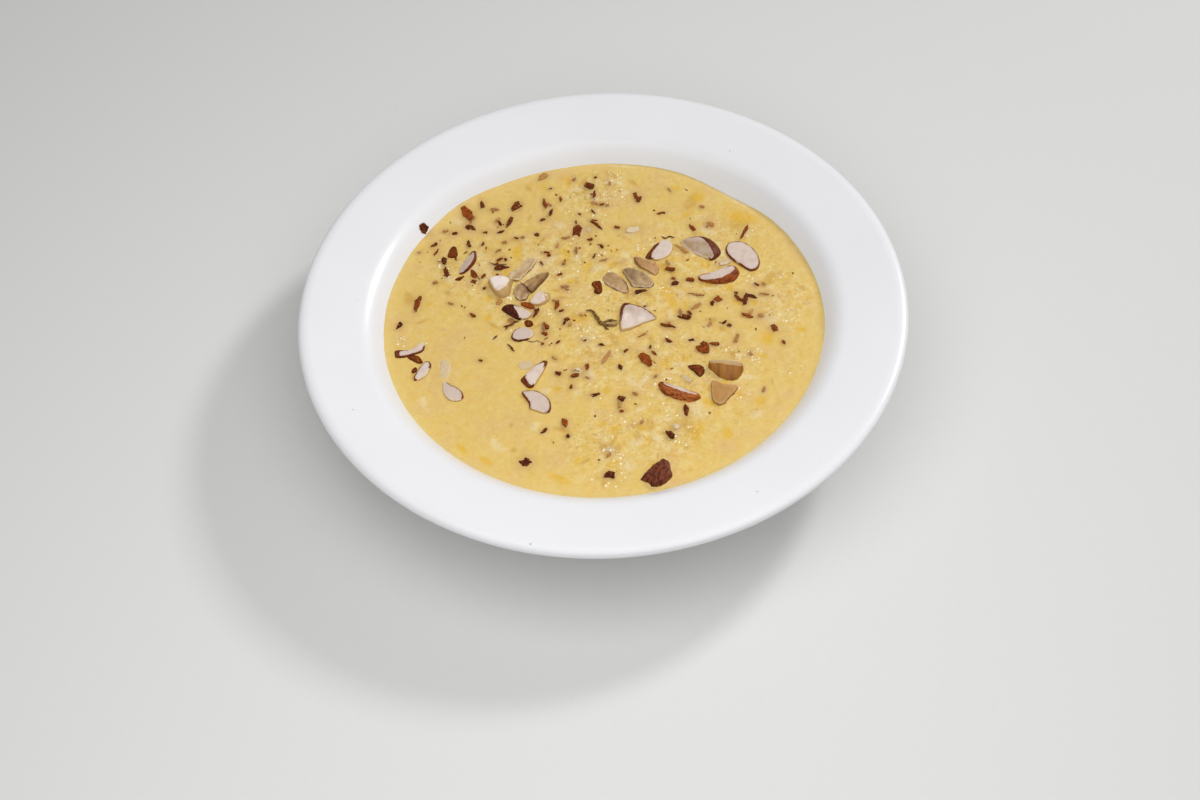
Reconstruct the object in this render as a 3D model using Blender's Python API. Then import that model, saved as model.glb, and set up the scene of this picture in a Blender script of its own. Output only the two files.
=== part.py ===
"""Saffron rice pudding with chopped almonds, served in its white porcelain soup plate.

Metres, +Z up.  The origin is under the middle of the foot ring, at the height of the
surface that the dish stands on.  +X is to the right and +Y away from the viewer, as in
a view from the front.  Sizes below are in millimetres, and MM turns them to metres.

Pieces: the bowl, the pudding (rice grains in relief, small skin flakes fused on), and
one solid for each piece of nut or husk that is as large as a berry.
"""
import random
from collections import namedtuple
from math import cos, exp, hypot, pi, radians, sin, sqrt

import bmesh
import bpy
from mathutils import Matrix, Vector
from mathutils.geometry import (
    delaunay_2d_cdt,
    interpolate_bezier,
    intersect_line_line_2d,
    intersect_point_line,
)

MM = 0.001

# Bowl: a wide-rimmed soup plate of glazed porcelain
RIM_RADIUS = 115.0
HEIGHT = 40.0
LIP_THICKNESS = 4.4
SHOULDER_RADIUS = 93.0
RIM_DROP = 3.4
WELL_FLOOR_RADIUS = 50.0
WELL_FLOOR_HEIGHT = 8.0
WELL_HANDLES = ((75.0, 19.5), (68.0, WELL_FLOOR_HEIGHT))
SHOULDER_HANDLES = ((86.5, 33.4), (89.0, 35.9))
WALL_THICKNESS = 4.6
UNDERSIDE_HANDLES = ((84.0, 29.0), (78.0, 6.5))
FOOT_RADIUS = 57.0
FOOT_WIDTH = 5.0
FOOT_HEIGHT = 3.2
FOOT_ROUNDING = 0.6
FOOT_FILLET = 3.0
TURN_STEPS = 64
WELL_STEPS = 6
SHOULDER_STEPS = 5
LIP_STEPS = 6
UNDERSIDE_STEPS = 8

# Pudding: thick saffron cream with rice, filled to below the rim
PUDDING_RADIUS = 83.0
PUDDING_LEVEL = 29.4
PUDDING_DOME = 0.7
LUMP_PLACE = (-6.0, 34.0)
LUMP_RISE = 0.8
LUMP_SPREAD = 8.0
GAP = 0.3

# Rice grains that lift the surface of the cream
GRAIN_LENGTH = 4.2
GRAIN_WIDTH = 2.0
GRAIN_RISE = 0.5
GRAIN_PITCH = 10.6
GRAIN_STRAY = 2.4
GRAIN_CLEARANCE = 0.4
GRAIN_EDGE_MARGIN = 3.0

# Flakes of almond skin, tan husk and pale kernel, fused to the cream
FLAKE_THICKNESS = 0.8
FLAKE_TAPER = 0.12
FLAKE_SIDES = 6
FLAKE_CLEARANCE = 0.45
FLAKE_EDGE_MARGIN = 1.0
FLAKE_COUNT = 32
FLAKE_ZONES = ((-33.0, 12.0, 30.0), (42.0, 12.0, 26.0), (10.0, -22.0, 34.0), (-10.0, 45.0, 34.0))
SEED = 7

# Nut pieces: how far they reach below the surface of the cream, and their facets
SINK = 1.5
POINTEDNESS = 0.6
KERNEL_LOOPS = 6
KERNEL_SIDES = 10
LARGE_KERNEL_LENGTH = 20.0

Flake = namedtuple("Flake", "x y long wide turn")
Piece = namedtuple("Piece", "name x y turn long wide thick lift point cuts look")

# The larger flakes, each where it lies: across, away, length, width, turn in degrees
SKIN_FLAKES = [Flake(*row) for row in (
    (-45.5, 62, 3.5, 1.4, -55), (-51, 60.5, 5.5, 1.0, 0), (-51, 56.5, 5.5, 3.2, -40),
    (-50.5, 51, 5.5, 1.8, -40), (-57, 38.5, 6.0, 3.0, 55), (-70.5, 13, 8.0, 1.6, 70),
    (-26, 56, 3.0, 1.6, 25), (-1.5, 70, 4.0, 3.0, 0), (-23.5, 45.5, 4.0, 1.4, -40),
    (-0.5, 48.5, 5.5, 0.8, -50), (-7.5, 46, 4.2, 4.0, -20), (-38.5, 28.5, 4.5, 1.0, -20),
    (-1.5, 15.5, 6.0, 2.8, -60), (27.5, 40, 7.5, 1.0, -10), (57.5, 40, 4.5, 0.8, 55),
    (34.5, 16, 4.5, 1.4, -5), (36.5, 9, 5.5, 0.8, -20), (44.5, 6.5, 3.5, 2.0, -5),
    (55, 7, 4.0, 1.4, -60), (54, 2.5, 4.5, 1.4, -125), (55, -3.5, 4.0, 1.0, -30),
    (31.5, -2.5, 5.5, 2.0, -25), (44.5, -5.5, 3.0, 2.2, -55), (65, -9.5, 3.0, 2.0, -5),
    (16, 12.5, 5.0, 1.4, 30), (-77, 2, 3.5, 1.8, -50), (-24.5, -1.5, 3.5, 1.8, -45),
    (-37, -11, 4.0, 0.8, -50), (-19, -47.5, 3.0, 1.8, -60), (-71, -14, 4.5, 2.0, -30),
    (15, -21, 8.0, 2.2, -55), (22.5, -18, 4.5, 1.0, 20), (24, -21, 4.5, 1.4, -55),
    (37, -18, 4.5, 4.4, 0), (33, -28, 6.0, 2.8, -30), (5, -39.5, 3.5, 2.4, -40),
    (29, -47, 4.5, 1.6, -70), (22.5, -57.5, 3.5, 3.0, -20), (-0.5, -74, 4.0, 2.4, 0),
    (-30.5, -67, 4.5, 3.8, -10), (-36, -0.5, 4.0, 1.6, 25),
)]
TAN_FLAKES = [Flake(*row) for row in (
    (-60, 33.5, 4.0, 1.6, -65), (-65, 25, 2.5, 2.0, 25), (-48.5, 25, 5.0, 2.4, -55),
    (-31.5, 62, 6.5, 2.8, 30), (-20.5, 77, 4.5, 1.6, 35), (-20, 62, 5.0, 1.0, -90),
    (-24.5, 50.5, 5.5, 0.8, 15), (-8, 10, 4.5, 1.4, -80), (-2, 6.5, 4.5, 1.0, -35),
    (35.5, 3, 4.5, 1.2, 30), (-40, -4, 4.5, 2.0, 45), (-13, -15, 4.0, 2.0, -25),
    (-14, -41, 3.0, 1.8, -55),
)]
PALE_FLAKES = [Flake(*row) for row in (
    (-3.5, 47, 3.6, 3.2, 15), (14, 45.5, 6.0, 3.0, 10), (-10.5, -25, 4.5, 3.2, 15),
    (-33, -20, 3.5, 2.6, 5), (30, -32, 4.5, 1.8, -45), (24.5, -53.5, 3.5, 2.6, -10),
    (-1.5, -62, 3.6, 2.4, -20), (-60.5, -21.5, 5.0, 3.0, -65), (48.5, 25, 5.0, 2.4, 15),
)]

# Nut pieces.  Each is an almond kernel cut by a knife.  A cut is the azimuth and the
# elevation of the way it faces, in degrees, and its distance from the kernel's middle.
PIECES = [Piece(*row) for row in (
    ("almond_oval_right", 55.2, 28.2, -45, 17.0, 11.5, 8.0, 0.0, 0.2, ((-60, 82, 1.9),), "kernel"),
    ("almond_thick_back", 39.6, 32.6, -23, 16.2, 10.8, 9.0, 0.4, 0.2, ((190, 66, 2.2),), "kernel"),
    ("almond_crescent", 45.6, 18.4, 18, 16.5, 8.0, 8.4, 0.5, 0.8,
     ((108, 66, 1.6), (108, 5, 2.2)), "skin"),
    ("almond_end_back", 24.1, 32.8, 38, 12.2, 8.5, 7.0, -0.3, 0.2, ((20, 76, 1.6),), "kernel"),
    ("soaked_flake_tan", 18.2, 26.2, -20, 12.0, 9.0, 3.4, 0.5, 0.4,
     ((-135, 5, 0.6), (0, 5, 4.6), (48, 5, 2.3)), "soaked"),
    ("soaked_flake_wide", 15.2, 20.6, -22, 12.0, 8.6, 3.6, 0.5, 0.5, ((0, 90, 1.3),), "soaked"),
    ("soaked_flake_small", 5.2, 17.0, -38, 10.5, 6.4, 3.2, 0.4, 0.2, ((0, 90, 1.1),), "soaked"),
    ("almond_wedge", 12.5, -4.0, -22, 20.5, 17.0, 12.0, -0.2, 0.0,
     ((-82, 70, 0.9), (164, 8, 5.0), (-66, 10, -0.8)), "kernel"),
    ("golden_nut_ribbed", 44.2, -28.6, -5, 14.5, 8.6, 9.0, 0.0, 0.0,
     ((100, 74, 3.4), (0, 10, 6.5)), "golden"),
    ("golden_nut_flat", 42.2, -39.0, -70, 15.5, 13.5, 5.0, 0.2, 0.0,
     ((79, 10, 4.4), (-39, 10, 3.9), (185, 10, 3.2), (0, 90, 1.9)), "golden"),
    ("almond_sliver", 26.9, -36.7, -25, 18.0, 7.6, 8.8, 0.2, 0.0, ((65, 15, -0.6), (65, 60, 2.4)), "skin"),
    ("almond_skin_up", 15.7, -72.7, 75, 14.4, 12.2, 8.0, 0.0, 0.3,
     ((133, 20, 3.6), (-128, 20, 5.0), (75, 25, 5.4)), "skin"),
    ("almond_teardrop", -26.4, -38.9, 140, 14.0, 9.6, 7.0, 0.0, 0.9, ((-60, 84, 1.6),), "kernel"),
    ("almond_pointed", -26.4, -25.9, 53, 16.0, 6.4, 7.0, 0.0, 1.5,
     ((-30, 78, 1.7), (-140, 10, 5.4)), "kernel"),
    ("almond_left", -57.5, -31.6, -49, 11.5, 7.4, 6.0, 0.0, 0.3, ((-135, 78, 1.4),), "kernel"),
    ("almond_narrow_left", -68.3, -20.7, 51, 11.0, 5.0, 6.0, 0.0, 0.4, ((-60, 76, 1.5),), "kernel"),
    ("almond_sliver_left", -73.4, -9.1, 26, 13.0, 3.6, 5.0, 0.0, 0.2, ((-60, 70, 1.3),), "kernel"),
    ("almond_slanted_back", -51.2, 33.0, 63, 14.0, 5.4, 6.5, 0.0, 0.6, ((165, 66, 1.4),), "kernel"),
    ("almond_white_chunk", -39.6, 20.6, 0, 9.6, 9.0, 9.0, 0.2, 0.0,
     ((-90, 76, 3.2), (208, 10, 3.0), (-30, 10, 3.0), (90, 10, 3.2)), "kernel"),
    ("curled_flake", -29.7, 27.6, 49, 14.5, 4.4, 3.4, 0.5, 0.3, ((0, 90, 1.3),), "soaked"),
    ("leaf_flake", -23.6, 20.8, 46, 13.0, 4.8, 4.0, 0.5, 0.9, ((0, 90, 1.6),), "soaked"),
    ("folded_flake", -31.4, 14.2, -70, 9.0, 6.0, 4.0, 0.3, 0.2, ((45, 5, 2.2), (0, 90, 1.5)), "soaked"),
    ("almond_small_middle", -22.8, 10.6, 15, 9.0, 6.4, 6.0, 0.2, 0.3, ((-60, 80, 1.6),), "kernel"),
    ("almond_dark_middle", -31.8, 5.0, -12, 13.6, 8.0, 8.0, 0.0, 0.2,
     ((0, 48, 0.8), (-110, 10, 3.5)), "skin"),
    ("almond_oval_middle", -29.8, -5.2, 20, 9.4, 7.2, 6.0, 0.0, 0.3, ((-20, 80, 1.5),), "kernel"),
)]

# A strip of cardamom husk: the way it bends along the surface
HUSK_NAME = "cardamom_husk"
HUSK_BEND = ((-7.0, 3.2), (-2.8, 2.4), (-3.4, -4.4), (4.6, -3.6))
HUSK_WIDTH = 1.2
HUSK_HEIGHT = 0.9
HUSK_STEPS = 9
HUSK_END_SHARE = 0.45

# Colour, roughness of each look
LOOKS = {
    "porcelain": ((0.80, 0.80, 0.82), 0.12),
    "cream": ((0.78, 0.58, 0.20), 0.35),
    "kernel": ((0.72, 0.66, 0.60), 0.45),
    "skin": ((0.14, 0.035, 0.015), 0.55),
    "soaked": ((0.42, 0.30, 0.16), 0.30),
    "golden": ((0.46, 0.25, 0.08), 0.30),
    "husk": ((0.16, 0.14, 0.05), 0.60),
}


def clear_scene():
    """Start from an empty scene."""
    for thing in list(bpy.data.objects):
        bpy.data.objects.remove(thing, do_unlink=True)


def finish(name, look):
    """A material for one piece, with the colour and roughness of its look."""
    colour, roughness = LOOKS[look]
    made = bpy.data.materials.new(name + "_finish")
    made.use_nodes = True
    shader = made.node_tree.nodes["Principled BSDF"]
    shader.inputs["Base Color"].default_value = (*colour, 1.0)
    shader.inputs["Roughness"].default_value = roughness
    shader.inputs["Metallic"].default_value = 0.0
    made.diffuse_color = (*colour, 1.0)
    return made


def add_object(name, shape, look, smooth_angle=40):
    """Turn a bmesh in metres into a named object with its own material."""
    bmesh.ops.recalc_face_normals(shape, faces=shape.faces)
    mesh = bpy.data.meshes.new(name)
    shape.to_mesh(mesh)
    shape.free()
    mesh.shade_smooth()
    mesh.set_sharp_from_angle(angle=radians(smooth_angle))
    mesh.materials.append(finish(name, look))
    made = bpy.data.objects.new(name, mesh)
    bpy.context.scene.collection.objects.link(made)
    return made


def bezier(start, start_handle, end_handle, end, steps):
    """Points (r, z) along a Bezier curve, both ends included."""
    knots = [Vector((r, z, 0.0)) for r, z in (start, start_handle, end_handle, end)]
    return [(point.x, point.y) for point in interpolate_bezier(*knots, steps)]


def arc(middle, radius, first, last, steps):
    """Points (r, z) along an arc, angles in degrees, both ends included."""
    turns = [radians(first + (last - first) * i / (steps - 1)) for i in range(steps)]
    return [(middle[0] + radius * cos(t), middle[1] + radius * sin(t)) for t in turns]


def well_curve(steps):
    """The inside wall of the well, from the pudding's edge down to the flat floor."""
    edge = (PUDDING_RADIUS + GAP, PUDDING_LEVEL - GAP)
    floor = (WELL_FLOOR_RADIUS, WELL_FLOOR_HEIGHT)
    return bezier(edge, *WELL_HANDLES, floor, steps)


def bowl_profile():
    """The bowl's section, from the middle of the well out over the lip and under."""
    lip_radius = LIP_THICKNESS / 2
    lip_middle = (RIM_RADIUS - lip_radius, HEIGHT - lip_radius)
    shoulder = (SHOULDER_RADIUS, HEIGHT - RIM_DROP)
    inside = [(0.0, WELL_FLOOR_HEIGHT)] + well_curve(WELL_STEPS)[::-1]
    bend = bezier(inside[-1], *SHOULDER_HANDLES, shoulder, SHOULDER_STEPS)[1:]
    lip = arc(lip_middle, lip_radius, 98, -80, LIP_STEPS)
    under_shoulder = (SHOULDER_RADIUS, shoulder[1] - WALL_THICKNESS)
    foot_top = (FOOT_RADIUS + FOOT_FILLET, FOOT_HEIGHT)
    outside = bezier(under_shoulder, *UNDERSIDE_HANDLES, foot_top, UNDERSIDE_STEPS)
    inner_foot = FOOT_RADIUS - FOOT_WIDTH
    foot = [(FOOT_RADIUS, FOOT_ROUNDING), (FOOT_RADIUS - FOOT_ROUNDING, 0.0),
            (inner_foot + FOOT_ROUNDING, 0.0), (inner_foot, FOOT_ROUNDING)]
    base = [(inner_foot - FOOT_ROUNDING, FOOT_HEIGHT - FOOT_ROUNDING),
            (inner_foot - FOOT_FILLET, FOOT_HEIGHT), (0.0, FOOT_HEIGHT)]
    return inside + bend + lip + outside + foot + base


def make_bowl():
    """Turn the section round the axis."""
    shape = bmesh.new()
    corners = [shape.verts.new((r * MM, 0.0, z * MM)) for r, z in bowl_profile()]
    edges = [shape.edges.new(pair) for pair in zip(corners, corners[1:])]
    bmesh.ops.spin(shape, geom=corners + edges, cent=(0, 0, 0), axis=(0, 0, 1), angle=2 * pi,
                   steps=TURN_STEPS, use_merge=True)
    bmesh.ops.remove_doubles(shape, verts=shape.verts, dist=1e-6)
    return add_object("bowl", shape, "porcelain", smooth_angle=50)


def level(x, y):
    """Height of the cream: nearly flat, a little higher in the middle, one low lump."""
    dome = PUDDING_DOME * (1 - (x * x + y * y) / PUDDING_RADIUS ** 2)
    from_lump = hypot(x - LUMP_PLACE[0], y - LUMP_PLACE[1]) / LUMP_SPREAD
    lump = LUMP_RISE * exp(-from_lump * from_lump / 2)
    return PUDDING_LEVEL + dome + lump


def facing(azimuth, elevation):
    """Unit vector that points to an azimuth and an elevation, in degrees."""
    flat = cos(radians(elevation))
    return Vector((flat * cos(radians(azimuth)), flat * sin(radians(azimuth)), sin(radians(elevation))))


def knife(shape, point, normal):
    """Cut away what lies beyond a plane and close the cut."""
    everything = shape.verts[:] + shape.edges[:] + shape.faces[:]
    bmesh.ops.bisect_plane(shape, geom=everything, dist=1e-7, plane_co=point, plane_no=normal,
                           clear_outer=True)
    bmesh.ops.remove_doubles(shape, verts=shape.verts, dist=2e-5)
    open_edges = [edge for edge in shape.edges if edge.is_boundary]
    bmesh.ops.holes_fill(shape, edges=open_edges, sides=0)


def kernel(piece, grow=0.0):
    """A chopped kernel about its own middle, long along X, its pointed end at +X."""
    finer = 2 if piece.long > LARGE_KERNEL_LENGTH else 1
    rings, sides = KERNEL_LOOPS * finer, KERNEL_SIDES * finer
    half = Vector((piece.long, piece.wide, piece.thick)) / 2 + Vector((grow, grow, grow))
    shape = bmesh.new()
    loops = []
    for i in range(1, rings):
        along = -cos(pi * i / rings)
        girth = sin(pi * i / rings) ** (1 + POINTEDNESS * piece.point * max(along, 0.0))
        loop = []
        for j in range(sides):
            turn = 2 * pi * j / sides
            spot = Vector((half.x * along, half.y * girth * cos(turn), half.z * girth * sin(turn)))
            loop.append(shape.verts.new(spot * MM))
        loops.append(loop)
    ends = [shape.verts.new((side * half.x * MM, 0.0, 0.0)) for side in (-1, 1)]
    for j in range(sides):
        k = (j + 1) % sides
        shape.faces.new((ends[0], loops[0][j], loops[0][k]))
        shape.faces.new((ends[1], loops[-1][k], loops[-1][j]))
        for low, high in zip(loops, loops[1:]):
            shape.faces.new((low[j], high[j], high[k], low[k]))
    unturn = Matrix.Rotation(radians(-piece.turn), 3, "Z")
    for azimuth, elevation, distance in piece.cuts:
        normal = unturn @ facing(azimuth, elevation)
        knife(shape, normal * (distance + grow) * MM, normal)
    below = (piece.lift + SINK + grow) * MM
    knife(shape, Vector((0.0, 0.0, -below)), Vector((0.0, 0.0, -1.0)))
    bmesh.ops.triangulate(shape, faces=shape.faces)
    return shape


def place_kernel(piece, name, grow=0.0):
    """A chopped kernel where it lies in the cream."""
    made = add_object(name, kernel(piece, grow), piece.look)
    made.location = Vector((piece.x, piece.y, level(piece.x, piece.y) + piece.lift)) * MM
    made.rotation_euler.z = radians(piece.turn)
    return made


def husk_path():
    """Places (x, y) along the bent strip of husk."""
    return bezier(*HUSK_BEND, HUSK_STEPS)


def ribbon(path, half_width):
    """The two edges of a strip that follows a path in the plane."""
    left, right = [], []
    for i, (x, y) in enumerate(path):
        before = path[max(i - 1, 0)]
        after = path[min(i + 1, len(path) - 1)]
        run = hypot(after[0] - before[0], after[1] - before[1])
        across = (-(after[1] - before[1]) / run, (after[0] - before[0]) / run)
        middle_share = sin(pi * (i + 0.5) / len(path))
        reach = half_width * (HUSK_END_SHARE + (1 - HUSK_END_SHARE) * middle_share)
        left.append((x + across[0] * reach, y + across[1] * reach))
        right.append((x - across[0] * reach, y - across[1] * reach))
    return left, right


def make_husk():
    """A thin four-sided strip that lies on the cream."""
    left, right = ribbon(husk_path(), HUSK_WIDTH / 2)
    shape = bmesh.new()
    rows = []
    for (lx, ly), (rx, ry) in zip(left, right):
        low = level((lx + rx) / 2, (ly + ry) / 2) + GAP
        high = low + HUSK_HEIGHT
        corners = ((lx, ly, low), (rx, ry, low), (rx, ry, high), (lx, ly, high))
        rows.append([shape.verts.new(Vector(corner) * MM) for corner in corners])
    for near, far in zip(rows, rows[1:]):
        for i in range(4):
            k = (i + 1) % 4
            shape.faces.new((near[i], near[k], far[k], far[i]))
    shape.faces.new(rows[0][::-1])
    shape.faces.new(rows[-1])
    bmesh.ops.triangulate(shape, faces=shape.faces)
    return add_object(HUSK_NAME, shape, "husk")


def flake_outline(flake):
    """A small chip, uneven in its own way at each place, as points (x, y)."""
    wobble = random.Random(int(flake.x * 31 + flake.y * 17))
    turn = radians(flake.turn)
    points = []
    for i in range(FLAKE_SIDES):
        around = 2 * pi * i / FLAKE_SIDES + wobble.uniform(-0.25, 0.25)
        along = flake.long / 2 * cos(around) * wobble.uniform(0.88, 1.0)
        aside = max(flake.wide, 0.8) / 2 * sin(around) * wobble.uniform(0.88, 1.12)
        points.append((flake.x + along * cos(turn) - aside * sin(turn),
                       flake.y + along * sin(turn) + aside * cos(turn)))
    return points


def grain_outline(x, y, turn):
    """The four corners of a rice grain's footprint, ends first and third."""
    ends = GRAIN_LENGTH / 2
    sides = GRAIN_WIDTH / 2
    corners = ((ends, 0.0), (0.0, sides), (-ends, 0.0), (0.0, -sides))
    return [(x + a * cos(turn) - b * sin(turn), y + a * sin(turn) + b * cos(turn)) for a, b in corners]


def footprint(thing):
    """The outline that a convex piece covers, seen from above, in millimetres."""
    matrix = Matrix.Translation(thing.location) @ thing.rotation_euler.to_matrix().to_4x4()
    spots = sorted({tuple(round(c / MM, 3) for c in (matrix @ v.co).xy) for v in thing.data.vertices})
    hull = []
    for run in (spots, spots[::-1]):
        start = len(hull)
        for spot in run:
            while len(hull) - start >= 2 and turns_right(hull[-2], hull[-1], spot):
                hull.pop()
            hull.append(spot)
        hull.pop()
    return hull


def turns_right(a, b, c):
    """Whether the way a, b, c turns right or runs straight on."""
    return (b[0] - a[0]) * (c[1] - a[1]) - (b[1] - a[1]) * (c[0] - a[0]) <= 0


def edges_of(outline):
    """The outline's edges, as pairs of vectors."""
    spots = [Vector(spot) for spot in outline]
    return list(zip(spots, spots[1:] + spots[:1]))


def inside(spot, outline):
    """Whether a place lies inside an outline."""
    hits = 0
    for a, b in edges_of(outline):
        if (a.y > spot[1]) != (b.y > spot[1]):
            hits += spot[0] < a.x + (spot[1] - a.y) / (b.y - a.y) * (b.x - a.x)
    return hits % 2 == 1


def edge_distance(spot, a, b):
    """How far a place is from the edge a-b."""
    nearest, share = intersect_point_line(spot.to_3d(), a.to_3d(), b.to_3d())
    share = min(max(share, 0.0), 1.0)
    return (a.lerp(b, share) - spot).length


def reach_of(outline):
    """How far an outline's other corners lie from its first one, at most."""
    return max((Vector(spot) - Vector(outline[0])).length for spot in outline)


def clear_of(outline, others, gap):
    """Whether an outline keeps a gap to all the others."""
    for other in others:
        between = (Vector(outline[0]) - Vector(other[0])).length
        if between > reach_of(outline) + reach_of(other) + gap:
            continue
        if inside(outline[0], other) or inside(other[0], outline):
            return False
        for a, b in edges_of(outline):
            for c, d in edges_of(other):
                if intersect_line_line_2d(a, b, c, d):
                    return False
                if min(edge_distance(a, c, d), edge_distance(c, a, b)) < gap:
                    return False
    return True


def within_edge(outline, margin):
    """Whether an outline stays clear of the pudding's edge."""
    return max(hypot(x, y) for x, y in outline) < PUDDING_RADIUS - margin


def small_flakes(draw):
    """Small chips, scattered round the places where the nuts were strewn."""
    for _ in range(FLAKE_COUNT):
        x, y, spread = draw.choice(FLAKE_ZONES)
        away = spread * sqrt(draw.random())
        around = draw.uniform(0.0, 2 * pi)
        long = draw.uniform(1.8, 3.2)
        wide = long * draw.uniform(0.35, 0.8)
        yield Flake(x + away * cos(around), y + away * sin(around), long, wide, draw.uniform(0.0, 180.0))


def settle_flakes(draw, taken):
    """The outlines of all flakes that find room, the larger ones first."""
    settled = []
    for flake in SKIN_FLAKES + TAN_FLAKES + PALE_FLAKES + list(small_flakes(draw)):
        outline = flake_outline(flake)
        if within_edge(outline, FLAKE_EDGE_MARGIN) and clear_of(outline, taken + settled, FLAKE_CLEARANCE):
            settled.append(outline)
    return settled


def settle_grains(draw, taken):
    """Places and turns of the rice grains, on an uneven triangular net."""
    settled = []
    row_pitch = GRAIN_PITCH * sqrt(3) / 2
    rows = int(PUDDING_RADIUS / row_pitch) + 1
    for row in range(-rows, rows + 1):
        for column in range(-rows, rows + 1):
            x = (column + 0.5 * (row % 2)) * GRAIN_PITCH + draw.uniform(-GRAIN_STRAY, GRAIN_STRAY)
            y = row * row_pitch + draw.uniform(-GRAIN_STRAY, GRAIN_STRAY)
            outline = grain_outline(x, y, draw.uniform(0.0, pi))
            if not within_edge(outline, GRAIN_EDGE_MARGIN):
                continue
            if clear_of(outline, taken + settled, GRAIN_CLEARANCE):
                settled.append(outline)
    return settled


def shrink(outline, inset):
    """Move each corner of a small outline towards its middle."""
    middle = sum((Vector(spot) for spot in outline), Vector((0.0, 0.0))) / len(outline)
    moved = []
    for spot in outline:
        inward = middle - Vector(spot)
        moved.append(tuple(Vector(spot) + inward.normalized() * min(inset, inward.length * 0.4)))
    return moved


class Surface:
    """Points and edges from which the pudding's top is triangulated."""

    def __init__(self):
        self.places = []
        self.heights = []
        self.edges = []

    def add_loop(self, outline, rise=0.0):
        """Add a closed outline that stands a little above the cream."""
        first = len(self.places)
        count = len(outline)
        for x, y in outline:
            self.places.append(Vector((x, y)))
            self.heights.append(level(x, y) + rise)
        self.edges += [(first + i, first + (i + 1) % count) for i in range(count)]

    def add_ridge(self, outline):
        """Add the raised back of a grain inside its footprint."""
        first = len(self.places)
        a, b = Vector(outline[0]), Vector(outline[2])
        for share in (0.25, 0.75):
            spot = a.lerp(b, share)
            self.places.append(spot)
            self.heights.append(level(spot.x, spot.y) + GRAIN_RISE)
        self.edges.append((first, first + 1))

    def triangles(self):
        """Corner numbers of the triangles over all the points."""
        places, _, faces, origins, _, _ = delaunay_2d_cdt(self.places, self.edges, [], 0, 1e-5)
        if len(places) != len(self.places):
            raise ValueError("outlines on the pudding cross each other")
        source = [group[0] for group in origins]
        return [tuple(source[corner] for corner in face) for face in faces]


def make_pudding(nuts, husk):
    """The cream with its grains and flakes, down to the floor of the well."""
    draw = random.Random(SEED)
    left, right = ribbon(husk_path(), HUSK_WIDTH / 2 + GAP)
    taken = [footprint(nut) for nut in nuts] + [left + right[::-1]]
    flakes = settle_flakes(draw, taken)
    grains = settle_grains(draw, taken + flakes)
    rim = [(PUDDING_RADIUS * cos(2 * pi * i / TURN_STEPS), PUDDING_RADIUS * sin(2 * pi * i / TURN_STEPS))
           for i in range(TURN_STEPS)]
    top = Surface()
    top.add_loop(rim)
    for outline in flakes:
        top.add_loop(outline)
        top.add_loop(shrink(outline, FLAKE_TAPER), rise=FLAKE_THICKNESS)
    for outline in grains:
        top.add_loop(outline)
        top.add_ridge(outline)
    shape = bmesh.new()
    corners = [shape.verts.new((p.x * MM, p.y * MM, z * MM)) for p, z in zip(top.places, top.heights)]
    for face in top.triangles():
        shape.faces.new([corners[i] for i in face])
    ring = corners[:TURN_STEPS]
    for r, z in well_curve(WELL_STEPS)[1:]:
        lower = [shape.verts.new(((r - GAP) * x / PUDDING_RADIUS * MM,
                                  (r - GAP) * y / PUDDING_RADIUS * MM, (z + GAP) * MM)) for x, y in rim]
        for i in range(TURN_STEPS):
            k = (i + 1) % TURN_STEPS
            shape.faces.new((ring[i], lower[i], lower[k], ring[k]))
        ring = lower
    middle = shape.verts.new((0.0, 0.0, (WELL_FLOOR_HEIGHT + GAP) * MM))
    for i in range(TURN_STEPS):
        shape.faces.new((ring[i], middle, ring[(i + 1) % TURN_STEPS]))
    return add_object("rice_pudding", shape, "cream"), len(flakes), len(grains)


def sink_nuts(pudding):
    """Hollow the cream round each nut piece, one clearance wider than the piece."""
    hollows = bpy.data.collections.new("hollows")
    bpy.context.scene.collection.children.link(hollows)
    for piece in PIECES:
        cutter = place_kernel(piece, "hollow_" + piece.name, grow=GAP)
        cutter.hide_render = True
        cutter.display_type = "WIRE"
        hollows.objects.link(cutter)
        bpy.context.scene.collection.objects.unlink(cutter)
    cut = pudding.modifiers.new("hollows", "BOOLEAN")
    cut.operation = "DIFFERENCE"
    cut.operand_type = "COLLECTION"
    cut.collection = hollows
    cut.solver = "EXACT"
    bpy.context.view_layer.update()
    shaped = pudding.evaluated_get(bpy.context.evaluated_depsgraph_get())
    mesh = bpy.data.meshes.new_from_object(shaped)
    pudding.modifiers.clear()
    pudding.data = mesh
    mesh.name = pudding.name
    while len(mesh.materials) > 1:
        mesh.materials.pop()
    for cutter in list(hollows.objects):
        bpy.data.objects.remove(cutter, do_unlink=True)
    bpy.data.collections.remove(hollows)


def main():
    clear_scene()
    serving = bpy.data.objects.new("serving", None)
    bpy.context.scene.collection.objects.link(serving)
    bowl = make_bowl()
    nuts = [place_kernel(piece, piece.name) for piece in PIECES]
    husk = make_husk()
    pudding, flakes, grains = make_pudding(nuts, husk)
    sink_nuts(pudding)
    for thing in [bowl, pudding, husk] + nuts:
        thing.parent = serving
    print("nut pieces", len(nuts), "flakes", flakes, "grains", grains)


main()
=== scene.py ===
# %% [markdown]
# A bowl of saffron rice pudding
#
# A wide-rimmed porcelain soup plate holds thick saffron cream with rice in it. Chopped
# almonds, a few golden pieces and many flakes of nut skin are strewn on top. The solids are
# already built and packed. This script dresses them: each cell makes one piece or one
# finish, and prints what it made. The first cell loads the imported part and gives a way to
# read the box of each of its solids.

# %% Load the imported part
import random
from collections import namedtuple
from math import cos, hypot, pi, radians, sin, sqrt

import bmesh
import bpy
import numpy as np
from mathutils import Matrix, Vector
from mathutils.geometry import interpolate_bezier


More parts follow.
